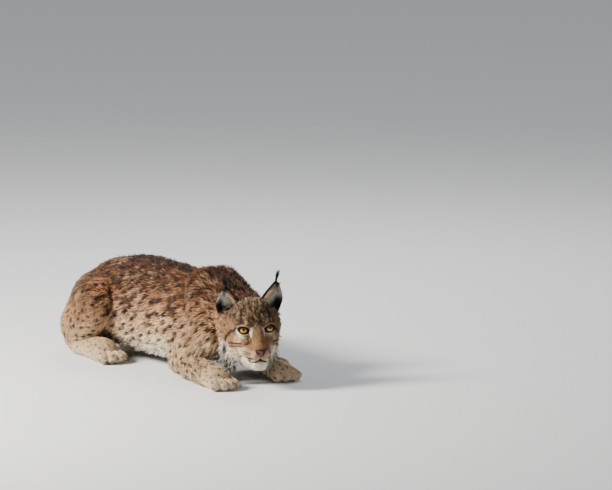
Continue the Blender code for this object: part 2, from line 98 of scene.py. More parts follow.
# The head's own frame: x out of the face, y to the animal's left, z to the crown
HEAD_PLACE = Vector((0.428, -0.0345, 0.1275))
HEAD_TURN = (math.radians(1.5), math.radians(0.0), math.radians(-20.5))
CRANIUM = (
    (-0.022, 0.000, 0.034, 0.066),
    (-0.008, 0.000, 0.046, 0.060),
    (0.020, 0.018, 0.046, 0.036),
    (0.020, -0.018, 0.046, 0.036),
)
SIDE_OF_HEAD = (
    (0.016, 0.030, -0.002, 0.032),
    (-0.004, 0.029, -0.032, 0.028),
    (-0.034, 0.038, -0.014, 0.035),
    (-0.034, 0.053, 0.030, 0.034),
    (-0.036, 0.046, 0.046, 0.032),
)
CHEEKBONE = ((0.036, 0.029, 0.000, 0.021), (0.006, 0.046, 0.000, 0.024))
BROW = ((0.041, 0.020, 0.0475, 0.0105), (0.034, 0.044, 0.0475, 0.0105))
BRIDGE = ((0.028, 0.000, 0.040, 0.026), (0.041, 0.000, 0.015, 0.0235), (0.075, 0.000, -0.0145, 0.0175))
MUZZLE_SIDE = ((0.030, 0.026, -0.018, 0.021), (0.060, 0.0140, -0.027, 0.0175))
WHISKER_PAD = ((0.063, 0.0165, -0.0325, 0.0160), (0.075, 0.0125, -0.0320, 0.0146))
CHIN = ((0.016, 0.013, -0.050, 0.022), (0.0680, 0.0058, -0.0575, 0.0163))
LID_MASS = ((0.0385, 0.0325, 0.0325, 0.0178), (0.0300, 0.0310, 0.0320, 0.0200))
RUFF_CORE = ((-0.026, 0.046, -0.008, 0.027), (-0.038, 0.047, -0.040, 0.018), (-0.046, 0.045, -0.064, 0.009))
THROAT = ((-0.030, 0.000, -0.020, 0.056), (0.000, 0.000, -0.045, 0.038))
EYE_PLACE = Vector((0.0405, 0.0330, 0.0320))
EYE_RADIUS = 0.0138
EYE_TURN_OUT = math.radians(14.0)
LID = 0.0022
LID_OPENING = (0.0128, 0.0084, 0.0080)  # half width, height above and depth below the middle
LID_SLANT = math.radians(14.0)
NOSE = (
    (0.0870, 0.0112, -0.0180, 0.0040),
    (0.0870, -0.0112, -0.0180, 0.0040),
    (0.0890, 0.0045, -0.0305, 0.0034),
    (0.0890, -0.0045, -0.0305, 0.0034),
    (0.0930, 0.0000, -0.0210, 0.0052),
)
NOSTRIL = Vector((0.0955, 0.0072, -0.0240))
MOUTH_HALF_ANGLE = math.radians(74.0)
MOUTH_PIVOT = Vector((0.046, 0.000))
MOUTH_HEIGHT = -0.0435
MOUTH_SAG = 0.0030
EAR_BASE = Vector((-0.026, 0.051, 0.066))
EAR_TIP = Vector((-0.016, 0.068, 0.140))
EAR_LEAN = 0.004
EAR_LIFT = 0.003
EAR_INNER = 1.28
EAR_TURN_OUT = math.radians(18.0)
EAR_HALF_WIDTH = 0.032
EAR_BULGE = 0.14
EAR_ROOT = -0.22
EAR_DEPTH = 0.030
EAR_FRONT = 0.0030
EAR_LEAST = 0.002
EAR_EDGE = 0.0008
EAR_TOP = 0.995  # of the ear's height
EAR_INNER_CURVE = 0.80
EAR_OUTER_CURVE = 3.2
EAR_DEPTH_CURVE = 0.7
CUP_SPAN = (0.02, 0.95)  # of the ear's height
CUP_FORWARD = 0.012

# How far the skin lies inside each mass, under the coat
TRUNK_COAT = 0.0095
HAUNCH_COAT = TRUNK_COAT - 0.003
LEG_COAT = 0.0075
FOREARM_COAT = 0.0050
PAW_COAT = 0.0035
TAIL_COAT = 0.0105
FLOOR_CLEARANCE = 0.0006

# The grain at which each skin is fused, and how often it is smoothed
BODY_GRAIN = (0.0045, 26)
PAW_GRAIN = (0.0022, 6)
TAIL_GRAIN = (0.0035, 8)
HEAD_GRAIN = (0.0017, 22)
NOSE_GRAIN = (0.0008, 5)

# The kinds of flesh that a face of the skin can belong to, as material slots while the skin is made
KINDS_OF_FLESH = 5
BODY, HEAD, EAR, PAW, TAIL_PART = range(KINDS_OF_FLESH)


HEAD_FRAME = Matrix.Translation(HEAD_PLACE) @ Euler(HEAD_TURN).to_matrix().to_4x4()
HEAD_BACK = np.array(HEAD_FRAME.inverted())


def to_head(points):
    """Points of the body's frame in the head's frame."""
    return points @ HEAD_BACK[:3, :3].T + HEAD_BACK[:3, 3]


def smooth_step(low, high, value):
    share = np.clip((value - low) / (high - low), 0.0, 1.0)
    return share * share * (3.0 - 2.0 * share)


def unit(vectors):
    return vectors / np.maximum(np.linalg.norm(vectors, axis=-1, keepdims=True), 1e-9)


def lengths(vectors):
    return np.linalg.norm(vectors, axis=1)


def from_segment(points, first, second):
    """How far along a straight piece points lie, from 0 to 1, and how far they are from it."""
    line = second - first
    share = np.clip(((points - first) @ line) / (line @ line), 0.0, 1.0)
    return share, lengths(points - first - share[:, None] * line)


LATTICE = np.random.default_rng(3).random((24, 24, 24))


def noise(points, size, shift=0.0):
    """Smooth noise from 0 to 1 with lumps about size across."""
    place = points / size + shift + 200.0
    cell = np.floor(place).astype(int)
    part = place - cell
    part = part * part * (3.0 - 2.0 * part)
    total = np.zeros(len(points))
    for corner in np.ndindex(2, 2, 2):
        share = np.prod(np.where(corner, part, 1.0 - part), axis=1)
        index = (cell + corner) % LATTICE.shape[0]
        total += share * LATTICE[index[:, 0], index[:, 1], index[:, 2]]
    return total


def layered_noise(points, layers):
    """A sum of noises, each with its share, its grain and its shift."""
    return sum(share * noise(points, grain, shift) for share, grain, shift in layers)


# Mesh making


def ball_points(level):
    mesh = bmesh.new()
    bmesh.ops.create_icosphere(mesh, subdivisions=level, radius=1.0)
    points = [corner.co.copy() for corner in mesh.verts]
    mesh.free()
    return points


BALL = ball_points(3)


def hull(mesh, balls, squash=1.0, grow=0.0):
    points = []
    for x, y, z, radius in balls:
        place = Matrix.Translation((x, y, z)) @ Matrix.Diagonal((1.0, squash, 1.0, 1.0))
        points += [mesh.verts.new(place @ ((radius + grow) * corner)) for corner in BALL]
    made = bmesh.ops.convex_hull(mesh, input=points)
    loose = made["geom_interior"] + made["geom_unused"]
    inside = {part for part in loose if isinstance(part, bmesh.types.BMVert)}
    bmesh.ops.delete(mesh, geom=list(inside), context="VERTS")


def chain(mesh, balls, grow=0.0, squash=1.0):
    for first, second in zip(balls, balls[1:]):
        hull(mesh, (first, second), squash, grow)


def sided(place, side):
    """A place of the left side, on either side."""
    return Vector((place.x, side * place.y, place.z))


def link_object(name, data):
    made = bpy.data.objects.new(name, data)
    bpy.context.scene.collection.objects.link(made)
    return made


def mirrored(balls, side, reach=(0.0, 0.0)):
    made = []
    for x, y, z, radius in balls:
        share = min(max((x - ELBOW) / (WRIST - ELBOW), 0.0), 1.0)
        made.append((x + reach[0] * share, side * (y + reach[1] * share), z, radius))
    return made


def solid_object(name, mesh):
    bmesh.ops.recalc_face_normals(mesh, faces=mesh.faces[:])
    data = bpy.data.meshes.new(name)
    mesh.to_mesh(data)
    mesh.free()
    return link_object(name, data)


def ball_object(name, centre, radii, turn=(0.0, 0.0, 0.0)):
    """A ball stretched to three radii and turned."""
    place = Matrix.Translation(centre) @ Euler(turn).to_matrix().to_4x4() @ Matrix.Diagonal((*radii, 1.0))
    mesh = bmesh.new()
    bmesh.ops.create_icosphere(mesh, subdivisions=4, radius=1.0, matrix=place)
    return solid_object(name, mesh)


def shade_smooth(thing):
    thing.data.polygons.foreach_set("use_smooth", np.ones(len(thing.data.polygons), bool))


def remove(thing):
    data = thing.data
    bpy.data.objects.remove(thing, do_unlink=True)
    bpy.data.meshes.remove(data)


def apply_modifiers(thing):
    graph = bpy.context.evaluated_depsgraph_get()
    graph.update()
    data = bpy.data.meshes.new_from_object(thing.evaluated_get(graph))
    thing.modifiers.clear()
    old = thing.data
    thing.data = data
    bpy.data.meshes.remove(old)
    return thing


SMOOTHING = 0.5


def soften(thing, voxel, passes):
    """Fuses overlapping shapes into one skin and rounds its creases."""
    remesh = thing.modifiers.new("fuse", "REMESH")
    remesh.mode = "VOXEL"
    remesh.voxel_size = voxel
    smooth = thing.modifiers.new("round", "SMOOTH")
    smooth.factor = SMOOTHING
    smooth.iterations = passes
    return apply_modifiers(thing)


def combine(thing, other, operation):
    boolean = thing.modifiers.new("combine", "BOOLEAN")
    boolean.operation = operation
    boolean.solver = "MANIFOLD"
    boolean.object = other
    apply_modifiers(thing)
    remove(other)
    return thing


def face_kinds(thing):
    kinds = np.empty(len(thing.data.polygons), int)
    thing.data.polygons.foreach_get("material_index", kinds)
    return kinds


def mark(thing, kind):
    """Gives every face the slot of its kind of flesh."""
    for i in range(KINDS_OF_FLESH):
        thing.data.materials.append(kind_marker(i))
    thing.data.polygons.foreach_set("material_index", [kind] * len(thing.data.polygons))
    return thing


def kind_marker(kind):
    name = "kind_%d" % kind
    return bpy.data.materials.get(name) or bpy.data.materials.new(name)


def rings_mesh(rings):
    mesh = bmesh.new()
    made = [[mesh.verts.new(point) for point in ring] for ring in rings]
    count = len(rings[0])
    for low, high in zip(made, made[1:]):
        for i in range(count):
            j = (i + 1) % count
            mesh.faces.new((low[i], low[j], high[j], high[i]))
    mesh.faces.new(made[0][::-1])
    mesh.faces.new(made[-1])
    bmesh.ops.triangulate(mesh, faces=mesh.faces[:])
    return mesh


TUBE_END = 0.25  # the width at a tube's ends, against its middle
TUBE_UPRIGHT = 0.3  # below this, a tube stands too upright to be turned about the vertical


def tube(points, radius, taper_steps=6, sides=8):
    rings = []
    for i, point in enumerate(points):
        along = (points[min(i + 1, len(points) - 1)] - points[max(i - 1, 0)]).normalized()
        across = along.cross(Vector((0.0, 0.0, 1.0)))
        if across.length < TUBE_UPRIGHT:
            across = along.cross(Vector((0.0, 1.0, 0.0)))
        across.normalize()
        other = across.cross(along)
        ends = min(i, len(points) - 1 - i) / taper_steps
        width = radius * (TUBE_END + (1.0 - TUBE_END) * min(ends, 1.0))
        turns = [2.0 * math.pi * j / sides for j in range(sides)]
        rings.append([point + width * (math.cos(a) * across + math.sin(a) * other) for a in turns])
    return rings_mesh(rings)


def mesh_points(thing):
    points = np.empty(len(thing.data.vertices) * 3)
    thing.data.vertices.foreach_get("co", points)
    return points.reshape(-1, 3)


def mesh_normals(thing):
    normals = np.empty(len(thing.data.vertices) * 3)
    thing.data.vertices.foreach_get("normal", normals)
    return normals.reshape(-1, 3)


def triangle_mesh(name, points, triangles):
    """A mesh object from arrays."""
    data = bpy.data.meshes.new(name)
    data.vertices.add(len(points))
    data.vertices.foreach_set("co", points.ravel())
    data.loops.add(triangles.size)
    data.loops.foreach_set("vertex_index", triangles.ravel())
    data.polygons.add(len(triangles))
    data.polygons.foreach_set("loop_start", np.arange(0, triangles.size, 3))
    data.update(calc_edges=True)
    made = link_object(name, data)
    shade_smooth(made)
    return made


def opaque(colours):
    return np.concatenate((colours, np.ones((len(colours), 1))), axis=1)


def set_colours(thing, colours):
    """Linear colours of the corners, with the place along the tuft in the alpha."""
    layer = thing.data.color_attributes.new("coat", "FLOAT_COLOR", "POINT")
    layer.data.foreach_set("color", colours.astype(np.float32).ravel())


# The skin


def body_skin():
    mesh = bmesh.new()
    chain(mesh, TRUNK, -TRUNK_COAT, TRUNK_WIDTH)
    chain(mesh, WITHERS, -TRUNK_COAT)
    chain(mesh, NECK, -TRUNK_COAT)
    for name, side in SIDES.items():
        for balls in (HAUNCH, BUTTOCK, SHOULDER_BLADE):
            chain(mesh, mirrored(balls, side), -HAUNCH_COAT)
        for balls in (SHANK, UPPER_ARM):
            chain(mesh, mirrored(balls, side), -LEG_COAT)
        chain(mesh, mirrored(FOREARM, side, FORE_REACH[name]), -FOREARM_COAT)
    return mark(soften(solid_object("skin", mesh), *BODY_GRAIN), BODY)


def paw_skin(balls, toes, side, reach=(0.0, 0.0)):
    mesh = bmesh.new()
    chain(mesh, mirrored(balls, side, reach), -PAW_COAT)
    for across, ahead in zip(TOE_SPREAD, TOE_REACH):
        x, y = toes[0] + reach[0], toes[1] + reach[1]
        first = (x, side * (y + TOE_ROOT_SPREAD * across), toes[2] + TOE_ROOT_RISE, TOE_ROOT_RADIUS)
        second = (x + ahead, side * (y + across), toes[2] - TOE_TIP_DROP, TOE_TIP_RADIUS)
        hull(mesh, (first, second), grow=-PAW_COAT)
    return mark(soften(solid_object("paw", mesh), *PAW_GRAIN), PAW)


def tail_skin():
    mesh = bmesh.new()
    chain(mesh, TAIL, -TAIL_COAT)
    return mark(soften(solid_object("tail", mesh), *TAIL_GRAIN), TAIL_PART)


def eye_frame(side):
    return Matrix.Translation(sided(EYE_PLACE, side)) @ Matrix.Rotation(side * EYE_TURN_OUT, 4, "Z")


def opening_outline(steps=24):
    """The almond between the lids, as points across and up."""
    half, above, below = LID_OPENING
    outline = []
    for i in range(2 * steps):
        turn = math.pi * i / steps
        edge = abs(math.sin(turn)) ** 1.4
        outline.append((half * math.cos(turn), above * edge if turn < math.pi else -below * edge))
    return outline


def opening_frame(side):
    return eye_frame(side) @ Matrix.Rotation(side * LID_SLANT, 4, "X")


def mouth_line(surface, rise, steps=64):
    points = []
    for step in range(steps + 1):
        turn = MOUTH_HALF_ANGLE * (2.0 * step / steps - 1.0)
        out = Vector((math.cos(turn), math.sin(turn), 0.0))
        sag = MOUTH_SAG * math.sin(min(abs(turn) * 2.0, math.pi / 2.0))
        start = Vector((MOUTH_PIVOT.x, MOUTH_PIVOT.y, MOUTH_HEIGHT - sag + rise)) + 0.1 * out
        points.append(surface.ray_cast(start, -out)[0])
    return points


# Folds of the face, each from one point to another, with its width and depth. Depths below zero stand out
FOLDS = (
    ((0.058, 0.020, 0.014), (0.064, 0.026, -0.014), 0.0045, 0.0022),
    ((0.066, 0.020, -0.013), (0.048, 0.036, -0.022), 0.0040, 0.0016),
    ((0.050, 0.012, 0.040), (0.044, 0.010, 0.058), 0.0050, 0.0012),
    ((0.050, 0.024, 0.019), (0.038, 0.046, 0.018), 0.0035, 0.0012),
    ((0.058, 0.033, -0.044), (0.044, 0.042, -0.052), 0.0040, 0.0018),
    ((0.049, 0.020, 0.0445), (0.037, 0.046, 0.0465), 0.0055, -0.0028),
)


def fold_face(thing):
    points = mesh_points(thing)
    move = np.zeros(len(points))
    for side in SIDES.values():
        flip = (1.0, side, 1.0)
        for first, second, width, depth in FOLDS:
            _, away = from_segment(points, np.array(first) * flip, np.array(second) * flip)
            move -= depth * np.exp(-((away / width) ** 2))
    points += move[:, None] * mesh_normals(thing)
    thing.data.vertices.foreach_set("co", points.ravel())
    thing.data.update()


def ear_tip(side):
    return Vector((EAR_TIP.x, side * EAR_TIP.y + EAR_LEAN, EAR_TIP.z + EAR_LIFT * (1.0 + side)))


def ear_axes(side):
    base = sided(EAR_BASE, side)
    up = (ear_tip(side) - base).normalized()
    face = Vector((math.cos(EAR_TURN_OUT), side * math.sin(EAR_TURN_OUT), 0.0))
    face = (face - up * face.dot(up)).normalized()
    return base, up, face, side * up.cross(face).normalized()


def ear_edges(part):
    """Where the inner and the outer edge of an ear stand, at a share of its height."""
    inner = -EAR_INNER * EAR_HALF_WIDTH * (1.0 - part) ** EAR_INNER_CURVE
    outer = EAR_HALF_WIDTH * (1.0 - part**EAR_OUTER_CURVE) * (1.0 + EAR_BULGE * np.sin(np.pi * part))
    return inner, outer


def ear_rings(side, wall, forward, first, last, bowl=False, steps=22, sides=28):
    base, _, face, across = ear_axes(side)
    tip = ear_tip(side)
    rings = []
    for step in range(steps + 1):
        height = first + (last - first) * step / steps
        part = max(height, 0.0)
        inner, outer = [float(edge) for edge in ear_edges(part)]
        share = math.sin(min(1.0, 0.25 + 4.0 * step / steps) * math.pi / 2.0) if bowl else 1.0
        half = share * max(max((outer - inner) / 2.0, EAR_LEAST) - wall, EAR_EDGE)
        deep = EAR_DEPTH * (1.0 - part) ** EAR_DEPTH_CURVE
        depth = share * max(max(deep, EAR_LEAST) - wall, EAR_EDGE)
        middle = base + (tip - base) * height + across * ((outer + inner) / 2.0)
        ring = []
        for i in range(sides):
            turn = 2.0 * math.pi * i / sides
            back = math.sin(turn)
            reach = -depth * back if back > 0.0 else -(EAR_FRONT + forward) * back
            ring.append(middle + across * (half * math.cos(turn)) + face * reach)
        rings.append(ring)
    return rings


EAR_SKIN_WALL = 0.0020
EAR_FROM = 0.055  # the height from which skin can belong to an ear
EAR_CLEARANCE = 0.0008


def ear_skin(side):
    made = solid_object("ear", rings_mesh(ear_rings(side, EAR_EDGE, 0.0, EAR_ROOT, EAR_TOP)))
    cup = ear_rings(side, EAR_SKIN_WALL + EAR_EDGE, CUP_FORWARD, *CUP_SPAN, bowl=True)
    combine(made, solid_object("cup", rings_mesh(cup)), "DIFFERENCE")
    return mark(made, EAR)


# The masses of the head and of each of its sides, with how far the skin lies inside them
HEAD_MIDDLE = ((CRANIUM, 0.004), (BRIDGE, 0.0012), (THROAT, 0.008))
HEAD_SIDE = (
    (SIDE_OF_HEAD, 0.006),
    (CHEEKBONE, 0.0035),
    (BROW, 0.0015),
    (LID_MASS, 0.0008),
    (MUZZLE_SIDE, 0.0012),
    (WHISKER_PAD, 0.0010),
    (RUFF_CORE, 0.004),
)
CHIN_COAT = 0.0026
LIP_RISE = 0.0026
LIP_RADIUS = 0.0026
LIP_DEPTH = Vector((0.0013, 0.0, 0.0))
GROOVE_RADIUS = 0.0011
FURROW = (-0.028, -0.0155)  # the height where the furrow under the nose starts, and how far it runs
FURROW_STEPS = 12
FURROW_RADIUS = 0.0010
SOCKET_GAP = 0.0004
OPENING_SPAN = (0.003, 0.032)  # how far out of the eye's middle the cut between the lids runs


def change_head(head, name, mesh, operation):
    combine(head, mark(solid_object(name, mesh), HEAD), operation)


def head_mass():
    mesh = bmesh.new()
    for balls, depth in HEAD_MIDDLE:
        hull(mesh, balls, grow=-depth)
    for side in SIDES.values():
        for balls, depth in HEAD_SIDE:
            hull(mesh, mirrored(balls, side), grow=-depth)
    hull(mesh, CHIN + tuple(mirrored(CHIN, -1.0)), grow=-CHIN_COAT)
    return mark(soften(solid_object("head", mesh), *HEAD_GRAIN), HEAD)


def head_skin():
    """The head with its folds, lips, lids and the furrow under the nose."""
    made = head_mass()
    surface = surface_of(made)
    fold_face(made)
    for rise in (LIP_RISE, -LIP_RISE):
        line = [point - LIP_DEPTH for point in mouth_line(surface, rise)]
        change_head(made, "lip", tube(line, LIP_RADIUS), "UNION")
    for side in SIDES.values():
        lids = ball_object("lids", eye_frame(side).translation, [EYE_RADIUS + LID] * 3)
        combine(made, mark(lids, HEAD), "UNION")
    change_head(made, "groove", tube(mouth_line(surface, 0.0), GROOVE_RADIUS), "DIFFERENCE")
    furrow = []
    for i in range(FURROW_STEPS + 1):
        height = FURROW[0] + FURROW[1] * i / FURROW_STEPS
        furrow.append(surface.ray_cast(Vector((0.2, 0.0, height)), Vector((-1.0, 0.0, 0.0)))[0])
    change_head(made, "furrow", tube(furrow, FURROW_RADIUS, 2), "DIFFERENCE")
    for side in SIDES.values():
        socket = ball_object("socket", eye_frame(side).translation, [EYE_RADIUS + SOCKET_GAP] * 3)
        combine(made, mark(socket, HEAD), "DIFFERENCE")
        cut = opening_frame(side)
        rings = [[cut @ Vector((x, y, z)) for y, z in opening_outline()] for x in OPENING_SPAN]
        change_head(made, "opening", rings_mesh(rings), "DIFFERENCE")
    return made


def surface_of(thing):
    mesh = bmesh.new()
    mesh.from_mesh(thing.data)
    tree = BVHTree.FromBMesh(mesh)
    mesh.free()
    return tree


def mark_ears(head, surface):
    """Gives the ears' kind to the faces that stand clear of the bare head."""
    kinds = face_kinds(head)
    for i, face in enumerate(head.data.polygons):
        if face.center.z > EAR_FROM and surface.find_nearest(face.center)[3] > EAR_CLEARANCE:
            kinds[i] = EAR
    head.data.polygons.foreach_set("material_index", kinds)


def cut_at_floor(skin):
    below = Matrix.Translation((0.0, 0.0, FLOOR_CLEARANCE - 0.5)) @ Matrix.Diagonal((4.0, 4.0, 1.0, 1.0))
    mesh = bmesh.new()
    bmesh.ops.create_cube(mesh, size=1.0, matrix=below)
    combine(skin, mark(solid_object("floor", mesh), BODY), "DIFFERENCE")


def triangulate(thing):
    mesh = bmesh.new()
    mesh.from_mesh(thing.data)
    bmesh.ops.triangulate(mesh, faces=mesh.faces[:])
    mesh.to_mesh(thing.data)
    mesh.free()


def whole_skin():
    """One closed skin of the whole animal, standing on the floor, and the face alone in the head's frame."""
    skin = body_skin()
    for name, side in SIDES.items():
        combine(skin, paw_skin(FOREPAW, FOREPAW_TOES, side, FORE_REACH[name]), "UNION")
        combine(skin, paw_skin(HINDPAW, HINDPAW_TOES, side), "UNION")
    combine(skin, tail_skin(), "UNION")
    head = head_skin()
    face = link_object("face", head.data.copy())
    for side in SIDES.values():
        combine(head, ear_skin(side), "UNION")
    mark_ears(head, surface_of(face))
    head.data.transform(HEAD_FRAME)
    combine(skin, head, "UNION")
    cut_at_floor(skin)
    triangulate(skin)
    shade_smooth(skin)
    return skin, face


# The lie of the coat. Each zone has its chain of balls, which way its hair runs, the tufts' length, their
# lift from the skin in degrees and their width, its ground colours and its spots


def zone(balls, way, size, ramp, spots):
    length, lift, width = size
    return {
        "balls": np.array(balls),
        "way": np.array(way, float),
        "size": np.array((length, math.radians(lift), width)),
        "ramp": ramp,
        "spots": np.array(spots),
    }


def srgb(*colours):
    """Linear values of colours given as 0 to 255."""
    values = np.array(colours, float) / 255.0
    return np.where(values <= 0.04045, values / 12.92, ((values + 0.055) / 1.055) ** 2.4)


def colour(*values):
    """One linear colour from its values of 0 to 255."""
    return srgb(values)[0]


def ramp(*steps):
    """Heights in metres with their colours."""
    return np.array([step[0] for step in steps]), srgb(*[step[1] for step in steps])


TRUNK_RAMP = ramp(
    (0.035, (248, 240, 224)),
    (0.070, (238, 220, 194)),
    (0.105, (212, 184, 152)),
    (0.150, (206, 170, 138)),
    (0.195, (156, 118, 86)),
    (0.235, (110, 74, 46)),
    (0.268, (80, 53, 33)),
)
NECK_RAMP = ramp(
    (0.060, (236, 224, 204)),
    (0.110, (228, 206, 176)),
    (0.150, (206, 172, 138)),
    (0.200, (160, 118, 84)),
    (0.235, (112, 80, 55)),
    (0.285, (98, 64, 39)),
)
THIGH_RAMP = ramp(
    (0.020, (216, 190, 158)),
    (0.060, (206, 176, 142)),
    (0.110, (192, 156, 120)),
    (0.150, (156, 118, 82)),
    (0.190, (126, 90, 60)),
    (0.225, (100, 72, 48)),
)
ARM_RAMP = ramp(
    (0.010, (220, 200, 172)),
    (0.060, (216, 190, 156)),
    (0.110, (202, 170, 134)),
    (0.160, (176, 140, 106)),
    (0.240, (136, 102, 74)),
)
PAW_RAMP = ramp((0.005, (230, 216, 194)), (0.030, (218, 198, 170)), (0.065, (206, 182, 150)))
TAIL_RAMP = ramp((0.0, (206, 178, 144)), (0.060, (190, 156, 120)), (0.160, (142, 108, 78)))

# The spots of a zone: how far apart they are, half their length, half their width and how dark they are
TRUNK_SPOTS = (0.023, 0.0108, 0.0058, 0.95)
WITHERS_SPOTS = (0.022, 0.0095, 0.0046, 0.75)
NECK_SPOTS = (0.026, 0.0075, 0.0042, 0.60)
HAUNCH_SPOTS = (0.0195, 0.0082, 0.0056, 0.95)
BUTTOCK_SPOTS = (0.0175, 0.0070, 0.0050, 0.95)
SHANK_SPOTS = (0.0165, 0.0063, 0.0046, 0.95)
BLADE_SPOTS = (0.019, 0.0088, 0.0053, 0.95)
ARM_SPOTS = (0.0155, 0.0062, 0.0046, 0.95)
PAW_SPOTS = (0.0140, 0.0036, 0.0028, 0.70)
TAIL_SPOTS = (0.0300, 0.0080, 0.0050, 0.50)
SWIRL_GRAIN = 0.060  # of the noise that turns the tufts' ways, and how much it does on body and elsewhere
BODY_SWIRL = 0.45
OTHER_SWIRL = 0.18

CORE_ZONES = 3  # the first zones, which have no sides: trunk, withers and neck


def zones():
    made = [
        zone(TRUNK, (-1.0, 0.0, -0.50), (0.025, 20.0, 0.0023), TRUNK_RAMP, TRUNK_SPOTS),
        zone(WITHERS, (-1.0, 0.0, -0.30), (0.025, 21.0, 0.0022), NECK_RAMP, WITHERS_SPOTS),
        zone(NECK, (-1.0, 0.0, -0.35), (0.028, 21.0, 0.0023), NECK_RAMP, NECK_SPOTS),
    ]
    for name, side in SIDES.items():
        limbs = (
            (HAUNCH, (-0.75, 0.50 * side, -0.45), (0.022, 14.0, 0.0021), THIGH_RAMP, HAUNCH_SPOTS),
            (BUTTOCK, (-0.60, 0.30 * side, -0.80), (0.022, 15.0, 0.0021), THIGH_RAMP, BUTTOCK_SPOTS),
            (SHANK, (-0.60, 0.50 * side, -0.80), (0.018, 18.0, 0.0020), THIGH_RAMP, SHANK_SPOTS),
            (SHOULDER_BLADE, (-0.75, 0.55 * side, -0.60), (0.024, 20.0, 0.0022), NECK_RAMP, BLADE_SPOTS),
            (UPPER_ARM, (-0.65, 0.60 * side, -0.70), (0.020, 18.0, 0.0020), ARM_RAMP, ARM_SPOTS),
            (FOREARM, (1.0, 0.0, -0.35), (0.013, 17.0, 0.0017), ARM_RAMP, ARM_SPOTS),
        )
        for balls, *others in limbs:
            reach = FORE_REACH[name] if balls is FOREARM else (0.0, 0.0)
            made.append(zone(mirrored(balls, side, reach), *others))
    return made


ZONES = zones()

# The way of the paws' tufts, and the length, lift and width of those on paws and tail
PAW_WAY = (1.0, 0.0, -0.30)
PAW_SIZE = np.array((0.0095, math.radians(11.0), 0.0017))
TAIL_SIZE = np.array((0.024, math.radians(21.0), 0.0028))

# Over what distance zones blend into each other
WAY_BLEND = 0.010
COLOUR_BLEND = 0.022


def depth_in(points, balls):
    """How far points lie outside a chain of balls."""
    best = np.full(len(points), 9.0)
    for first, second in zip(balls[:-1], balls[1:]):
        share, away = from_segment(points, first[:3], second[:3])
        best = np.minimum(best, away - (first[3] + share * (second[3] - first[3])))
    return best


def zone_shares(points, softness=WAY_BLEND):
    away = np.stack([depth_in(points, made["balls"]) for made in ZONES], axis=1)
    shares = np.exp(-(away - away.min(axis=1, keepdims=True)) / softness)
    return shares / shares.sum(axis=1, keepdims=True)


def along_chain(points, balls):
    """The direction of the nearest piece of a chain of balls, and the place along the chain."""
    balls = np.array(balls)
    best = np.full(len(points), 9.0)
    way = np.zeros((len(points), 3))
    place = np.zeros(len(points))
    for i, (first, second) in enumerate(zip(balls[:-1], balls[1:])):
        share, away = from_segment(points, first[:3], second[:3])
        nearer = away < best
        best = np.where(nearer, away, best)
        line = second[:3] - first[:3]
        way[nearer] = line / np.linalg.norm(line)
        place = np.where(nearer, (i + share) / (len(balls) - 1), place)
    return way, place


# Places on the head, in its own frame, for one side

NOSE_TIP = np.array((0.088, 0.0, -0.024))
# How long the hair is at distances from the nose
NOSE_WAY = (
    (0.000, 0.0025),
    (0.018, 0.0034),
    (0.040, 0.0055),
    (0.070, 0.0085),
    (0.100, 0.0098),
    (0.140, 0.0165),
)


def one_side(local):
    """Points of either side of the head, on its left side."""
    return local * (1.0, 0.0, 1.0) + (0.0, 1.0, 0.0) * np.abs(local)


def from_eye(local):
    """Offset from the eye on the point's own side."""
    return one_side(local) - np.array(EYE_PLACE)


def region(points, x, z):
    """Where points lie past two spans, along x and along z, fading in from 0 to 1 over each."""
    return smooth_step(*x, points[:, 0]) * smooth_step(*z, points[:, 2])


def ruff_share(local):
    out = smooth_step(0.026, 0.048, np.abs(local[:, 1]))
    out = np.maximum(out, smooth_step(-0.060, -0.072, local[:, 2]))
    return region(local, x=(0.006, -0.026), z=(0.014, -0.028)) * out


HEAD_LIFT = math.radians(19.0)
RUFF_LIFT = math.radians(3.0)  # more than on the rest of the head
LID_LIFT = math.radians(7.0)  # less than on the rest of the head
RUFF_LENGTH = 0.021
LID_SHORTENING = 0.55


def head_size(local):
    """Length, lift and width of the head's tufts."""
    length = np.interp(lengths(local - NOSE_TIP), *zip(*NOSE_WAY))
    ruff = ruff_share(local)
    length = length + RUFF_LENGTH * ruff
    lid = 1.0 - smooth_step(0.017, 0.026, lengths(from_eye(local)))
    length = length * (1.0 - LID_SHORTENING * lid)
    lift = HEAD_LIFT + RUFF_LIFT * ruff - LID_LIFT * lid
    width = 0.00042 + 0.086 * length - 0.0007 * ruff
    return np.stack((length, lift, width), axis=1)


def head_way(local):
    """Which way the hair runs on the head: from the nose back over the crown and down the cheeks."""
    flip = np.where((False, True, False), np.sign(local[:, 1:2] + 1e-9), 1.0)
    way = unit(local - NOSE_TIP - (0.03, 0.0, 0.0))
    cheek = region(local, x=(0.060, 0.010), z=(0.020, -0.030))
    way = way + cheek[:, None] * (flip * (-0.25, 0.25, -1.1))
    way = way + ruff_share(local)[:, None] * (flip * (-0.35, 0.10, -1.2))
    eye = from_eye(local) * flip
    near = np.exp(-((lengths(eye) / 0.020) ** 2))
    return way + 0.9 * near[:, None] * unit(eye)


def ear_places(local, side):
    """How far up one ear points lie, and their offset from the middle of the ear there."""
    base, _, face, across = [np.array(part) for part in ear_axes(side)]
    line = np.array(ear_tip(side)) - base
    height = ((local - base) @ line) / (line @ line)
    part = np.clip(height, 0.0, 1.0)
    inner, outer = ear_edges(part)
    offset = local - base - height[:, None] * line
    sideways = offset @ across
    place = (sideways - inner) / np.maximum(outer - inner, EAR_LEAST)
    middle = offset - ((outer + inner) / 2.0)[:, None] * across
    return part, place, middle, face, across, line / np.linalg.norm(line)


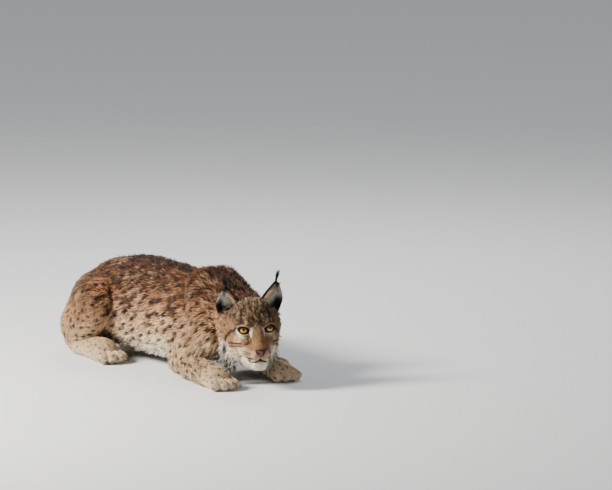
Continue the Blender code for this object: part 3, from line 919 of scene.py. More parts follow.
# Length, lift and width of the ears' hair: long in the cup, short in it, on the rim and on the back
EAR_HAIR = np.array(
    (
        (0.018, math.radians(26.0), 0.0011),
        (0.008, math.radians(26.0), 0.0011),
        (0.0045, math.radians(6.0), 0.0014),
        (0.006, math.radians(12.0), 0.0014),
    )
)
EAR_LONG_HAIR = 0.72  # how far across the cup its long hair grows
EAR_RIM = 0.05


def ear_lie(local, normals):
    """The hair's way on the ears and its size."""
    way = np.zeros_like(local)
    size = np.zeros_like(local)
    for side in SIDES.values():
        own = local[:, 1] * side > 0.0
        _, place, middle, face, across, up = ear_places(local[own], side)
        within = (middle * normals[own]).sum(axis=1) < 0.0
        rim = np.minimum(place, 1.0 - place) < EAR_RIM
        out = np.where(place[:, None] < 0.5, 1.0, -0.1) * across
        way[own] = np.where(within[:, None], 0.7 * up + 0.5 * face + 0.8 * out, up)
        size[own] = EAR_HAIR[np.select([within & (place < EAR_LONG_HAIR), within, rim], [0, 1, 2], 3)]
    return way, size


def project(ways, normals):
    flat = ways - (ways * normals).sum(axis=1, keepdims=True) * normals
    return unit(flat)


def lie(points, normals, kinds, shares):
    """The hair's direction along the skin, and its length, lift and width, everywhere."""
    ways = shares @ np.stack([made["way"] for made in ZONES])
    size = shares @ np.stack([made["size"] for made in ZONES])
    chest = region(points, x=(0.24, 0.31), z=(0.17, 0.10))
    nape = shares[:, 1:CORE_ZONES].sum(axis=1) * smooth_step(0.1, 0.7, normals[:, 0])
    ways[:, 2] += 1.3 * nape * smooth_step(-0.05, 0.35, normals[:, 2])
    size[:, 0] += 0.010 * chest
    turn = HEAD_BACK[:3, :3]
    local = to_head(points)
    faced = normals @ turn.T
    ways[kinds == HEAD] = (head_way(local) @ turn)[kinds == HEAD]
    size[kinds == HEAD] = head_size(local[kinds == HEAD])
    ear = kinds == EAR
    way, ear_size = ear_lie(local[ear], faced[ear])
    ways[ear] = way @ turn
    size[ear] = ear_size
    tail = kinds == TAIL_PART
    ways[tail] = along_chain(points[tail], TAIL)[0]
    size[tail] = TAIL_SIZE
    paw = kinds == PAW
    ways[paw] = PAW_WAY
    size[paw] = PAW_SIZE
    swirl = np.stack([noise(points, SWIRL_GRAIN, shift) - 0.5 for shift in (11.0, 43.0, 77.0)], axis=1)
    ways = unit(ways) + np.where(kinds == BODY, BODY_SWIRL, OTHER_SWIRL)[:, None] * swirl
    return project(ways, normals), size


# Colours of the coat

SPOT_DARK = colour(46, 30, 20)
SPOT_BROWN = colour(82, 52, 31)
RUFOUS = colour(150, 100, 60)
PALE = colour(222, 202, 172)
BLACK = colour(26, 21, 18)
THIGH_PATCH = (np.array((-0.135, 0.120, 0.200)), 0.050)

# Large dark spots of the thigh: place, half length, half width and the way they run
THIGH_SPOTS = (
    ((-0.105, 0.167, 0.171), 0.0160, 0.0090, (-0.8, -0.6, 0.0)),
    ((-0.097, 0.134, 0.132), 0.0120, 0.0085, (0.0, 0.0, 1.0)),
    ((-0.130, 0.105, 0.226), 0.0120, 0.0065, (-1.0, 0.0, 0.0)),
    ((-0.135, 0.127, 0.202), 0.0120, 0.0065, (-1.0, -0.4, 0.0)),
)
THIGH_SPOT_STRENGTH = 0.92


def pick_ramp(steps, height):
    heights, colours = steps
    return np.stack([np.interp(height, heights, colours[:, i]) for i in range(3)], axis=1)


def blend(colours, other, share):
    return colours + (np.asarray(other) - colours) * share[:, None]


STREAK_SLOPE = math.radians(24.0)
STREAK_SHAPE = (0.36, 1.0, 1.0)
DARK_STREAKS = ((0.7, 0.0085, 51.0), (0.3, 0.0040, 5.0))
DARK_EDGE = (0.49, 0.64)
LIGHT_STREAKS = ((0.7, 0.0080, 93.0), (0.3, 0.0040, 29.0))
LIGHT_EDGE = (0.55, 0.76)


def streaks(points):
    """Dark and light streaks that run back and down along the flanks, each from 0 to 1."""
    cos, sin = math.cos(STREAK_SLOPE), math.sin(STREAK_SLOPE)
    x, y, z = points.T
    along = np.stack((x * cos + z * sin, y, z * cos - x * sin), axis=1) * STREAK_SHAPE
    dark = smooth_step(*DARK_EDGE, layered_noise(along, DARK_STREAKS))
    light = smooth_step(*LIGHT_EDGE, layered_noise(along, LIGHT_STREAKS))
    return dark, light * (1.0 - dark)


# How far the colours' heights wander, and how much they rise where the coat faces up
HEIGHT_WANDER = 0.024
HEIGHT_GRAIN = 0.045
HEIGHT_SLOPE = 0.012

# Red-brown and pale patches: shape, edges, grain and shift of their noise, and strength
PATCH_SHAPE = (0.6, 1.0, 1.0)
RUFOUS_PATCHES = ((0.52, 0.85), 0.034, 7.0, 0.42)
PALE_PATCHES = ((0.55, 0.90), 0.028, 31.0, 0.30)
UPPER = (0.09, 0.17)  # heights between which the flank passes into its upper part
HIGH = (0.15, 0.21)  # heights between which it passes into the back
HIGH_PALE_FADE = 0.85

# Streaks: strength, and their share off the trunk, low on the flank and high on the back
DARK_STREAK_STRENGTH = 0.92
LIGHT_STREAK_STRENGTH = 0.55
STREAKS_OFF_TRUNK = 0.35
DARK_STREAKS_LOW = 0.30
LIGHT_STREAKS_HIGH_FADE = 0.35
THIGH_EDGE = (0.3, 1.1)
THIGH_STRENGTH = 0.70

# The dark line of the spine: half width, heights where it starts, where it ends forward, and strength
SPINE_HALF_WIDTH = 0.020
SPINE_HEIGHT = (0.20, 0.26)
SPINE_END = (0.27, 0.36)
SPINE_STRENGTH = 0.65


def body_colour(points, normals, shares):
    """The ground colour of the body's coat."""
    colours = np.zeros((len(points), 3))
    height = points[:, 2] + HEIGHT_WANDER * (noise(points, HEIGHT_GRAIN) - 0.5) + HEIGHT_SLOPE * normals[:, 2]
    for i, made in enumerate(ZONES):
        colours += shares[:, i : i + 1] * pick_ramp(made["ramp"], height)
    upper = smooth_step(*UPPER, points[:, 2])
    high = smooth_step(*HIGH, points[:, 2])
    edges, grain, shift, strength = RUFOUS_PATCHES
    patchy = smooth_step(*edges, noise(points * PATCH_SHAPE, grain, shift))
    colours = blend(colours, RUFOUS, strength * patchy * upper)
    edges, grain, shift, strength = PALE_PATCHES
    pale = smooth_step(*edges, noise(points * PATCH_SHAPE, grain, shift))
    colours = blend(colours, PALE, strength * pale * (1.0 - HIGH_PALE_FADE * high))
    dark, light = streaks(points)
    streaky = STREAKS_OFF_TRUNK + (1.0 - STREAKS_OFF_TRUNK) * shares[:, :CORE_ZONES].sum(axis=1)
    low = DARK_STREAKS_LOW + (1.0 - DARK_STREAKS_LOW) * upper
    colours = blend(colours, SPOT_BROWN, DARK_STREAK_STRENGTH * dark * streaky * low)
    fade = 1.0 - LIGHT_STREAKS_HIGH_FADE * high
    colours = blend(colours, PALE, LIGHT_STREAK_STRENGTH * light * streaky * fade)
    thigh = lengths(one_side(points) - THIGH_PATCH[0]) / THIGH_PATCH[1]
    colours = blend(colours, RUFOUS, THIGH_STRENGTH * (1.0 - smooth_step(*THIGH_EDGE, thigh)))
    spine = np.exp(-((points[:, 1] / SPINE_HALF_WIDTH) ** 2)) * smooth_step(*SPINE_HEIGHT, points[:, 2])
    spine *= 1.0 - smooth_step(*SPINE_END, points[:, 0])
    return blend(colours, SPOT_DARK, SPINE_STRENGTH * spine)


# Bands of the face: from, to, half width, colour and strength, for one side
DARK = (48, 36, 28)
FACE_LINES = (
    ((0.0545, 0.0215, 0.0235), (0.0620, 0.0195, 0.0040), 0.0028, DARK, 0.90),
    ((0.0560, 0.0155, 0.0350), (0.0595, 0.0168, 0.0180), 0.0043, (232, 222, 206), 0.85),
    ((0.0290, 0.0470, 0.0350), (0.0080, 0.0620, 0.0240), 0.0042, DARK, 0.85),
    ((0.0080, 0.0660, 0.0200), (-0.0100, 0.0770, -0.0030), 0.0056, DARK, 0.90),
    ((-0.0180, 0.0790, -0.0200), (-0.0240, 0.0760, -0.0380), 0.0066, DARK, 0.90),
    ((0.0450, 0.0400, -0.0020), (0.0120, 0.0660, -0.0040), 0.0024, DARK, 0.80),
    ((0.0430, 0.0400, -0.0090), (0.0100, 0.0650, -0.0140), 0.0022, DARK, 0.70),
    ((0.0460, 0.0350, 0.0500), (0.0220, 0.0330, 0.0800), 0.0034, DARK, 0.70),
    ((0.0440, 0.0200, 0.0560), (0.0120, 0.0220, 0.0960), 0.0030, DARK, 0.45),
    ((0.0480, 0.0080, 0.0520), (0.0060, 0.0100, 0.1020), 0.0030, DARK, 0.45),
    ((-0.0400, 0.0620, -0.0500), (-0.0500, 0.0460, -0.0800), 0.0110, (92, 82, 74), 0.70),
)
# Patches of the face: place, radius, colour and strength, for one side
FACE_PATCHES = (
    ((0.0480, 0.0290, 0.0520), 0.0080, (196, 172, 140), 0.60),
    ((0.0330, 0.0440, 0.0060), 0.0150, (214, 192, 164), 0.60),
    # partly brown fur, partly painted shade: the dark patch on each side of the nose's bridge stands for the
    # bridge's shaded sides
    ((0.0610, 0.0175, 0.0010), 0.0100, (108, 78, 54), 0.80),
    ((0.0680, 0.0160, -0.0140), 0.0110, (150, 112, 78), 0.60),
)
WHISKER_ROWS = ((-0.0240, 0.052), (-0.0290, 0.050), (-0.0345, 0.053), (-0.0395, 0.058))
WHISKERS_IN_ROW = 5
WHISKER_SPACING = 0.0062
WHISKER_ASIDE = 0.034  # the first root of a row, and how far in and down each further one lies
WHISKER_IN = 0.0025
WHISKER_DOWN = 0.0006
ROW_STAGGER = 0.0008


def whisker_roots():
    """Where the whiskers of the left side grow, before they are set on the skin."""
    roots = []
    for row, (height, start) in enumerate(WHISKER_ROWS):
        for i in range(WHISKERS_IN_ROW):
            low = height - WHISKER_DOWN * i + ROW_STAGGER * (row % 2)
            roots.append((start + WHISKER_SPACING * i, WHISKER_ASIDE - WHISKER_IN * i, low))
    return np.array(roots)


# Ground colours of the face
FACE = colour(158, 128, 99)
CROWN = colour(122, 96, 70)
CROWN_DARK = colour(62, 47, 35)
CROWN_PALE = colour(188, 168, 142)
CHEEK = colour(182, 152, 120)
LOW_CHEEK = colour(230, 216, 194)
RUFF = colour(246, 238, 224)
BRIDGE_TOP = colour(148, 126, 107)
BRIDGE_TIP = colour(166, 130, 94)
BRIDGE_DARK = colour(96, 72, 52)
MUZZLE = colour(204, 182, 154)
CHIN_PALE = colour(236, 227, 208)

# Regions of the face: colour, strength, and between which places forward and up each fades in
CHEEK_REGIONS = (
    (CHEEK, 0.85, (0.070, 0.035), (0.022, -0.010)),
    (LOW_CHEEK, 0.80, (0.066, 0.048), (-0.004, -0.024)),
)
MUZZLE_REGIONS = (
    (MUZZLE, 0.90, (0.048, 0.060), (-0.016, -0.025)),
    (CHIN_PALE, 1.0, (-0.030, 0.010), (-0.036, -0.050)),
)
CROWN_EDGE = (0.034, 0.060)
CROWN_FROM = 0.03
CROWN_SLOPE = 0.25  # how much lower the crown's edge lies, for each metre forward of that place
CROWN_FLECKS = ((CROWN_DARK, 0.85, (0.49, 0.62)), (CROWN_PALE, 0.60, (0.47, 0.34)))
RUFF_STRENGTH = 0.97
BRIDGE_STRENGTH = 0.85
BRIDGE_TIP_PLACE = (0.056, 0.078)
BRIDGE_FLECKS = (0.50, 0.78)
BRIDGE_FLECK_STRENGTH = 0.65

# The bridge of the nose: its half width, how much broader it is at its tip, and its ends
BRIDGE_BREADTH = 0.022
BRIDGE_BROADER = 0.006
BRIDGE_BROADENS = (0.060, 0.075)
BRIDGE_INNER = 0.006
BRIDGE_START = (0.036, 0.050)
BRIDGE_HEIGHT = (0.050, 0.036)


def bridge_share(x, side, z):
    """Where the bridge of the nose is, which is broader towards its tip."""
    breadth = BRIDGE_BREADTH + BRIDGE_BROADER * smooth_step(*BRIDGE_BROADENS, x)
    across = smooth_step(breadth, BRIDGE_INNER, side)
    return across * smooth_step(*BRIDGE_START, x) * smooth_step(*BRIDGE_HEIGHT, z)


HEAD_FLECKS = ((0.6, 0.0042, 5.0), (0.4, 0.0022, 41.0))


def head_ground(local):
    """The face without its markings."""
    x, side, z = local[:, 0], np.abs(local[:, 1]), local[:, 2]
    fleck = layered_noise(local, HEAD_FLECKS)
    colours = np.tile(FACE, (len(local), 1))
    crown = smooth_step(*CROWN_EDGE, z + CROWN_SLOPE * (x - CROWN_FROM))
    colours = blend(colours, CROWN, crown)
    for shade, strength, edge in CROWN_FLECKS:
        colours = blend(colours, shade, strength * crown * smooth_step(*edge, fleck))
    for shade, strength, forward, height in CHEEK_REGIONS:
        colours = blend(colours, shade, strength * region(local, x=forward, z=height))
    colours = blend(colours, RUFF, RUFF_STRENGTH * ruff_share(local))
    tip = smooth_step(*BRIDGE_TIP_PLACE, x)[:, None]
    tan = BRIDGE_TOP * (1.0 - tip) + BRIDGE_TIP * tip
    tan = tan + (BRIDGE_DARK - tan) * BRIDGE_FLECK_STRENGTH * smooth_step(*BRIDGE_FLECKS, fleck)[:, None]
    colours = blend(colours, tan, BRIDGE_STRENGTH * bridge_share(x, side, z))
    for shade, strength, forward, height in MUZZLE_REGIONS:
        colours = blend(colours, shade, strength * region(local, x=forward, z=height))
    return colours


LIP_BREADTH = 0.0056
LINE_STEPS = 5


def lowered(surface, places):
    """The places brought to the nearest points of a surface."""
    return np.array([tuple(surface.find_nearest(place)[0]) for place in places])


def face_marks(surface):
    """The mouth, the bands, the patches and the whiskers' roots, all laid on the surface of the face."""
    lines = []
    for first, second, width, values, strength in FACE_LINES:
        steps = np.linspace(np.array(first), np.array(second), LINE_STEPS + 1)
        lines.append((lowered(surface, steps), width, colour(*values), strength))
    patches = []
    for place, radius, values, strength in FACE_PATCHES:
        patches.append((lowered(surface, [place])[0], radius, colour(*values), strength))
    return {
        "mouth": np.array([tuple(point) for point in mouth_line(surface, 0.0)]),
        "lines": lines,
        "patches": patches,
        "whiskers": lowered(surface, whisker_roots()),
    }


def from_mouth(local, marks):
    """Distance from the line of the mouth."""
    return np.min(np.linalg.norm(local[:, None, :] - marks["mouth"][None, ::2, :], axis=2), axis=1)


UNDER_EYE = colour(234, 222, 202)
LID_PALE = colour(218, 200, 174)
WHISKER_ROOT = colour(58, 42, 34)
PATCH_EDGE = (0.4, 1.2)  # in radii of the patch
BAND_EDGE = (0.5, 1.3)  # in half widths of the band
UNDER_EYE_STRENGTH = 0.80
UNDER_EYE_HEIGHT = (0.004, -0.006)
UNDER_EYE_EDGE = (0.0200, 0.0245)
WHISKER_ROOT_SHAPE = (0.65, 0.35, 1.0)
WHISKER_ROOT_EDGE = (0.0012, 0.0026)
WHISKER_ROOT_STRENGTH = 0.92

# The black rim of the lids and the pale ring round it, in sizes of the lids' opening
RIM_EDGE = (1.12, 1.34)
RIM_STRENGTH = 0.97
RING_INNER = (1.26, 1.38)
RING_OUTER = (1.50, 1.80)
RING_STRENGTH = 0.60
LIP_EDGE = (0.0008, -0.0006)  # about the lips' breadth
LIP_STRENGTH = 0.95


def lid_reach(own):
    """How far points of the face lie from the middle of the lids' opening, and whether in front of it."""
    turned = np.array(opening_frame(1.0).inverted())
    seen = own @ turned[:3, :3].T + turned[:3, 3]
    half, above, below = LID_OPENING
    tall = np.where(seen[:, 2] > 0.0, above, below)
    reach = np.sqrt((seen[:, 1] / half) ** 2 + (seen[:, 2] / tall) ** 2)
    return reach, smooth_step(0.0, 0.004, seen[:, 0])


def head_colour(local, marks):
    """The face's coat with its markings, and painted shade on the sides of the nose's bridge."""
    own = one_side(local)
    colours = head_ground(local)
    for place, radius, shade, strength in marks["patches"]:
        away = lengths(own - place) / radius
        colours = blend(colours, shade, strength * (1.0 - smooth_step(*PATCH_EDGE, away)))
    eye = from_eye(local)
    under = smooth_step(*UNDER_EYE_HEIGHT, eye[:, 2]) * (1.0 - smooth_step(*UNDER_EYE_EDGE, lengths(eye)))
    colours = blend(colours, UNDER_EYE, UNDER_EYE_STRENGTH * under)
    wobble = 0.7 + 0.6 * noise(local, 0.004, 9.0)
    for line, width, shade, strength in marks["lines"]:
        away = np.min([from_segment(own, *ends)[1] for ends in zip(line, line[1:])], axis=0)
        share = strength * (1.0 - smooth_step(*BAND_EDGE, away * wobble / width))
        colours = blend(colours, shade, share)
    for spot in marks["whiskers"]:
        share = WHISKER_ROOT_STRENGTH * (
            1.0 - smooth_step(*WHISKER_ROOT_EDGE, lengths((own - spot) * WHISKER_ROOT_SHAPE))
        )
        colours = blend(colours, WHISKER_ROOT, share)
    reach, front = lid_reach(own)
    ring = smooth_step(*RING_INNER, reach) * (1.0 - smooth_step(*RING_OUTER, reach)) * front
    colours = blend(colours, LID_PALE, RING_STRENGTH * ring)
    rim = (1.0 - smooth_step(*RIM_EDGE, reach)) * front
    colours = blend(colours, BLACK, RIM_STRENGTH * rim)
    outer, inner = [LIP_BREADTH + edge for edge in LIP_EDGE]
    return blend(colours, BLACK, LIP_STRENGTH * smooth_step(outer, inner, from_mouth(local, marks)))


EAR_CUP = colour(226, 218, 206)
EAR_CUP_DARK = colour(120, 104, 90)
EAR_CUP_TAN = colour(168, 120, 80)
EAR_BACK = colour(48, 39, 33)
EAR_BACK_PATCH = colour(190, 180, 166)
EAR_ROOT_TAN = colour(150, 116, 86)

# Across and up the ear: the cup's flecks, its black outer edge and its tan inner one
CUP_FLECKS = (0.50, 0.75)
CUP_FLECK_STRENGTH = 0.6
CUP_BLACK_ACROSS = (0.66, 0.84)
CUP_BLACK_UP = (0.66, 0.36)
CUP_BLACK_STRENGTH = 0.95
CUP_TAN_ACROSS = (0.20, 0.08)
CUP_TAN_STRENGTH = 0.65

# The back's pale patch and tan root, then the black rim and tip
EAR_PATCH = (0.5, 0.35)
EAR_PATCH_SIZE = 0.22
EAR_PATCH_STRENGTH = 0.85
EAR_TAN_UP = (0.14, 0.02)
EAR_RIM_ACROSS = (0.045, 0.010)
EAR_RIM_UP = (0.02, 0.12)
EAR_BLACK_TIP = (0.80, 0.93)
EAR_BLACK_STRENGTH = 0.9


def ear_colour(local, normals):
    """The ears: black rims and backs with a pale patch, and grey-white hair in the cups."""
    colours = np.tile(EAR_BACK, (len(local), 1))
    for side in SIDES.values():
        own = local[:, 1] * side > 0.0
        part, place, middle, _, _, _ = ear_places(local[own], side)
        within = (middle * normals[own]).sum(axis=1) < 0.0
        fleck = noise(local[own], 0.006, 15.0)
        inner = np.tile(EAR_CUP, (own.sum(), 1))
        inner = blend(inner, EAR_CUP_DARK, CUP_FLECK_STRENGTH * smooth_step(*CUP_FLECKS, fleck))
        black = smooth_step(*CUP_BLACK_ACROSS, place)
        inner = blend(inner, BLACK, CUP_BLACK_STRENGTH * black * smooth_step(*CUP_BLACK_UP, part))
        inner = blend(inner, EAR_CUP_TAN, CUP_TAN_STRENGTH * smooth_step(*CUP_TAN_ACROSS, place))
        back = np.tile(EAR_BACK, (own.sum(), 1))
        across, up = (place - EAR_PATCH[0]) / EAR_PATCH_SIZE, (part - EAR_PATCH[1]) / EAR_PATCH_SIZE
        back = blend(back, EAR_BACK_PATCH, EAR_PATCH_STRENGTH * np.exp(-(across**2 + up**2)))
        back = blend(back, EAR_ROOT_TAN, smooth_step(*EAR_TAN_UP, part))
        mixed = np.where(within[:, None], inner, back)
        rim = smooth_step(*EAR_RIM_ACROSS, np.minimum(place, 1.0 - place)) * smooth_step(*EAR_RIM_UP, part)
        tip = smooth_step(*EAR_BLACK_TIP, part)
        colours[own] = blend(mixed, BLACK, EAR_BLACK_STRENGTH * np.maximum(rim, tip))
    return colours


def tree_of(points):
    tree = KDTree(len(points))
    for i, point in enumerate(points):
        tree.insert(point, i)
    tree.balance()
    return tree


SEEDS_TRIED = 9000
BELLY_FADE = 0.85  # how much weaker the spots are under the belly
BELLY_HEIGHTS = (0.085, 0.045)  # where they start to fade and where they have faded
SPOT_SCALES = (0.75, 1.25)


def spread_seeds(points, spacing):
    """Some of the points, each at least its own spacing from those before it."""
    chosen = []
    for i in np.random.default_rng(8).permutation(len(points))[:SEEDS_TRIED]:
        if chosen and (lengths(points[chosen] - points[i]) < spacing[i]).any():
            continue
        chosen.append(i)
    return np.array(chosen)


def lay_spots(points, normals, kinds, shares):
    """Where the coat's spots lie on the skin, how they run, their half sizes and their strength."""
    table = shares @ np.stack([made["spots"] for made in ZONES])
    under = smooth_step(*BELLY_HEIGHTS, points[:, 2]) * shares[:, :CORE_ZONES].sum(axis=1)
    table[:, 3] *= 1.0 - BELLY_FADE * under
    table[kinds == PAW] = PAW_SPOTS
    table[kinds == TAIL_PART] = TAIL_SPOTS
    allowed = np.flatnonzero((kinds == BODY) | (kinds == PAW) | (kinds == TAIL_PART))
    chosen = allowed[spread_seeds(points[allowed], table[allowed, 0])]
    ways, _ = lie(points[chosen], normals[chosen], kinds[chosen], shares[chosen])
    places, sizes = list(points[chosen]), list(table[chosen, 1:])
    scale = np.random.default_rng(9).uniform(*SPOT_SCALES, (len(chosen), 2))
    sizes = [(size[0] * k[0], size[1] * k[1], size[2]) for size, k in zip(sizes, scale)]
    ways = list(ways)
    tree = tree_of(points)
    for place, long_half, wide_half, way in THIGH_SPOTS:
        for side in SIDES.values():
            found = tree.find((place[0], side * place[1], place[2]))[1]
            places.append(points[found])
            sizes.append((long_half, wide_half, THIGH_SPOT_STRENGTH))
            ways.append(unit(np.array((way[0], side * way[1], way[2]))))
    return np.array(places), np.array(ways), np.array(sizes), tree_of(places)


NEAR_SPOTS = 3
SPOT_EDGE = (0.75, 1.20)  # in half sizes of the spot
WOBBLE_LEAST = 0.66  # the noise that roughens a spot's edge
WOBBLE_RANGE = 0.68
WOBBLE_GRAIN = 0.0065


def spot_cover(points, spots):
    """How much of a spot covers each point."""
    seeds, ways, sizes, tree = spots
    nearest = np.array([[found[1] for found in tree.find_n(point, NEAR_SPOTS)] for point in points], int)
    nearest = nearest.reshape(-1, NEAR_SPOTS)
    away = points[:, None, :] - seeds[nearest]
    along = (away * ways[nearest]).sum(axis=2)
    across = np.sqrt(np.maximum((away**2).sum(axis=2) - along**2, 0.0))
    wobble = WOBBLE_LEAST + WOBBLE_RANGE * noise(points, WOBBLE_GRAIN, 3.0)
    size = np.hypot(along / sizes[nearest, 0], across / sizes[nearest, 1]) * wobble[:, None]
    return ((1.0 - smooth_step(*SPOT_EDGE, size)) * sizes[nearest, 2]).max(axis=1)


TAIL_TIP = (0.62, 0.74)  # where along the tail its black end starts and is whole
TAIL_TIP_STRENGTH = 0.92

# Deepens the coat's colours, because the light that passes between the tufts brightens them
DEEPEN_POWER = 1.35
DEEPEN_GAIN = 1.22


def coat_colour(points, normals, kinds, spots, marks):
    """The colour of skin and coat, with every marking, from one function."""
    colours = body_colour(points, normals, zone_shares(points, COLOUR_BLEND))
    paw = kinds == PAW
    colours[paw] = pick_ramp(PAW_RAMP, points[paw, 2])
    tail = kinds == TAIL_PART
    colours[tail] = pick_ramp(TAIL_RAMP, points[tail, 2])
    _, place = along_chain(points[tail], TAIL)
    colours[tail] = blend(colours[tail], BLACK, TAIL_TIP_STRENGTH * smooth_step(*TAIL_TIP, place))
    furred = (kinds == BODY) | paw | tail
    colours[furred] = blend(colours[furred], SPOT_DARK, spot_cover(points[furred], spots))
    local = to_head(points)
    faced = normals @ HEAD_BACK[:3, :3].T
    head = kinds == HEAD
    colours[head] = head_colour(local[head], marks)
    ear = kinds == EAR
    colours[ear] = ear_colour(local[ear], faced[ear])
    return DEEPEN_GAIN * colours**DEEPEN_POWER


# The skin's faces and the tufts' roots


def face_corners(thing):
    corners = np.empty(len(thing.data.loops), int)
    thing.data.loops.foreach_get("vertex_index", corners)
    return corners.reshape(-1, 3)


def corner_kinds(thing):
    """The kind of flesh at each corner of the skin."""
    kinds = np.zeros(len(thing.data.vertices), int)
    corners = face_corners(thing)
    for i in range(3):
        kinds[corners[:, i]] = face_kinds(thing)
    return kinds


EYE_BARE = EYE_RADIUS + 0.0012
NOSE_BARE = ((0.0860, 0.0, -0.0225), 0.0095)  # middle and radius of the face's bare place under the nose
NOSE_BARE_STRETCH = (1.0, 0.75, 1.0)
LIPS_NEAR = 0.01  # the height of the band about the mouth, and how far forward it starts
LIPS_START = 0.04
SOLE_HEIGHT = 0.0025


def bare_share(points, kinds, marks):
    """Where the skin bears no tufts: inside the lids and the lips, under the nose and on the soles."""
    local = to_head(points)
    head = kinds == HEAD
    bare = head & (lengths(from_eye(local)) < EYE_BARE)
    middle, radius = NOSE_BARE
    bare |= head & (lengths((local - middle) * NOSE_BARE_STRETCH) < radius)
    by_mouth = (np.abs(local[:, 2] - MOUTH_HEIGHT) < LIPS_NEAR) & (local[:, 0] > LIPS_START)
    near = np.flatnonzero(head & by_mouth)
    bare[near] |= from_mouth(local[near], marks) < LIP_BREADTH
    return bare | (points[:, 2] < SOLE_HEIGHT)


KIND_COVER = (1.0, 1.02, 1.30, 0.66, 1.1)  # of each kind of flesh, against the whole coat's
RUFF_COVER = 1.1  # more than on the rest of the head
UNDERSIDE_THINNING = 0.6
UNDERSIDE_HEIGHTS = (0.045, 0.020)
UNDERSIDE_SLOPES = (-0.3, -0.8)


def grow_roots(thing, kinds, marks, cover):
    """Roots spread over the skin, as many as cover it so many times over with their tufts."""
    points, normals = mesh_points(thing), mesh_normals(thing)
    corners = face_corners(thing)
    middles = points[corners].mean(axis=1)
    first, second, third = points[corners].transpose(1, 0, 2)
    across = np.cross(second - first, third - first)
    area = lengths(across) / 2.0
    flat = unit(across)
    _, size = lie(middles, flat, kinds, zone_shares(middles))
    more = 1.0 + RUFF_COVER * ruff_share(to_head(middles)) * (kinds == HEAD)
    low = UNDERSIDE_THINNING * smooth_step(*UNDERSIDE_HEIGHTS, middles[:, 2])
    seen = 1.0 - low * smooth_step(*UNDERSIDE_SLOPES, flat[:, 2])
    wanted = cover * np.array(KIND_COVER)[kinds] * more * seen * area / (0.5 * size[:, 0] * size[:, 2])
    wanted[bare_share(middles, kinds, marks)] = 0.0
    total = int(wanted.sum())
    draws = (np.arange(total) + random.random(total)) / total * wanted.sum()
    chosen = np.minimum(np.searchsorted(np.cumsum(wanted), draws), len(wanted) - 1)
    a, b = random.random((2, total))
    over = a + b > 1.0
    a, b = np.where(over, 1.0 - a, a), np.where(over, 1.0 - b, b)
    weights = np.stack((1.0 - a - b, a, b), axis=1)
    roots = (points[corners[chosen]] * weights[:, :, None]).sum(axis=1)
    out = unit((normals[corners[chosen]] * weights[:, :, None]).sum(axis=1))
    return roots, out, kinds[chosen]


CLUMP_SHARE = 14  # of so many tufts, one leads the others
CLUMP_PULL = 0.40
CLUMP_PULLS_VARY = (0.4, 1.3)
CLUMP_REACH = 0.6  # of a tuft's length
ROOT_SUNK = 0.04  # how deep a tuft starts under the skin, as a share of its length
TWIST = 0.35
BEND = 0.10
ARC = 0.60  # how far a tuft turns from rising to falling along its length, in half turns
KEEL = 0.25  # how far the lower corners of a ring lie below its middle, in half widths
RIDGE = 0.8  # how far its upper corner lies above the middle


def clump_pull(roots, ways, length):
    """Draws the tips of neighbouring tufts together."""
    chosen = random.permutation(len(roots))[: max(len(roots) // CLUMP_SHARE, 1)]
    tree = tree_of(roots[chosen])
    leader = np.array([chosen[tree.find(point)[1]] for point in roots])
    aim = roots[leader] + ways[leader] * length[leader, None] - roots
    away = lengths(roots[leader] - roots)
    near = np.exp(-away / np.maximum(CLUMP_REACH * length, 0.001))
    pull = CLUMP_PULL * near * random.uniform(*CLUMP_PULLS_VARY, len(roots))
    return unit(ways * length[:, None] * (1.0 - pull[:, None]) + aim * pull[:, None]), leader


def blade_faces(rings):
    """Faces of one closed blade of three sides: the root, the sides between rings, and the tip."""
    faces = [(0, 2, 1)]
    for i in range(rings - 1):
        for j in range(3):
            a, b = 3 * i + j, 3 * i + (j + 1) % 3
            faces += [(a, b, b + 3), (a, b + 3, a + 3)]
    last = 3 * rings
    faces += [(last - 3 + j, last - 3 + (j + 1) % 3, last) for j in range(3)]
    return np.array(faces)


def tone_at(colours, share):
    """A tuft's colour at a share of its length."""
    if share == 1.0:
        return colours[2]
    low, high = (colours[0], colours[1]) if share < 0.5 else (colours[1], colours[2])
    return low + (high - low) * ((share * 2.0) % 1.0)


def tuft_mesh(roots, ways, out, size, colours, steps, droop=0.0):
    """Closed blades of three sides: the rings lie at the steps along each tuft, and a tip ends it."""
    length, lift, width = size.T
    count = len(roots)
    across = unit(np.cross(ways, out))
    twist = random.normal(0.0, TWIST, count)[:, None]
    side = across * np.cos(twist) + out * np.sin(twist)
    ridge = out * np.cos(twist) - across * np.sin(twist)
    bend = random.normal(0.0, BEND, count) * length
    rings = len(steps)
    stride = rings * 3 + 1
    points = np.empty((count, stride, 3))
    tones = np.empty((count, stride, 4))
    for i, (share, wide) in enumerate(tuple(steps) + ((1.0, 0.0),)):
        sunk = ROOT_SUNK * length if i == 0 else 0.0
        rise = np.sin(lift) * np.sin(share * math.pi * ARC) * length - sunk
        place = roots + ways * (np.cos(lift) * share * length)[:, None] + out * rise[:, None]
        place += across * (bend * share * share)[:, None]
        place[:, 2] -= droop * length * share * share
        own = slice(3 * i, 3 * i + 3)
        tones[:, own, :3] = tone_at(colours, share)[:, None, :]
        tones[:, own, 3] = share
        if i == rings:
            points[:, -1] = place
            break
        half = (0.5 * wide * width)[:, None]
        points[:, 3 * i] = place - side * half - ridge * KEEL * half
        points[:, 3 * i + 1] = place + side * half - ridge * KEEL * half
        points[:, 3 * i + 2] = place + ridge * RIDGE * half
    points[:, :, 2] = np.maximum(points[:, :, 2], FLOOR_CLEARANCE)
    triangles = (blade_faces(rings)[None] + stride * np.arange(count)[:, None, None]).reshape(-1, 3)
    return points.reshape(-1, 3), triangles, tones.reshape(-1, 4), stride


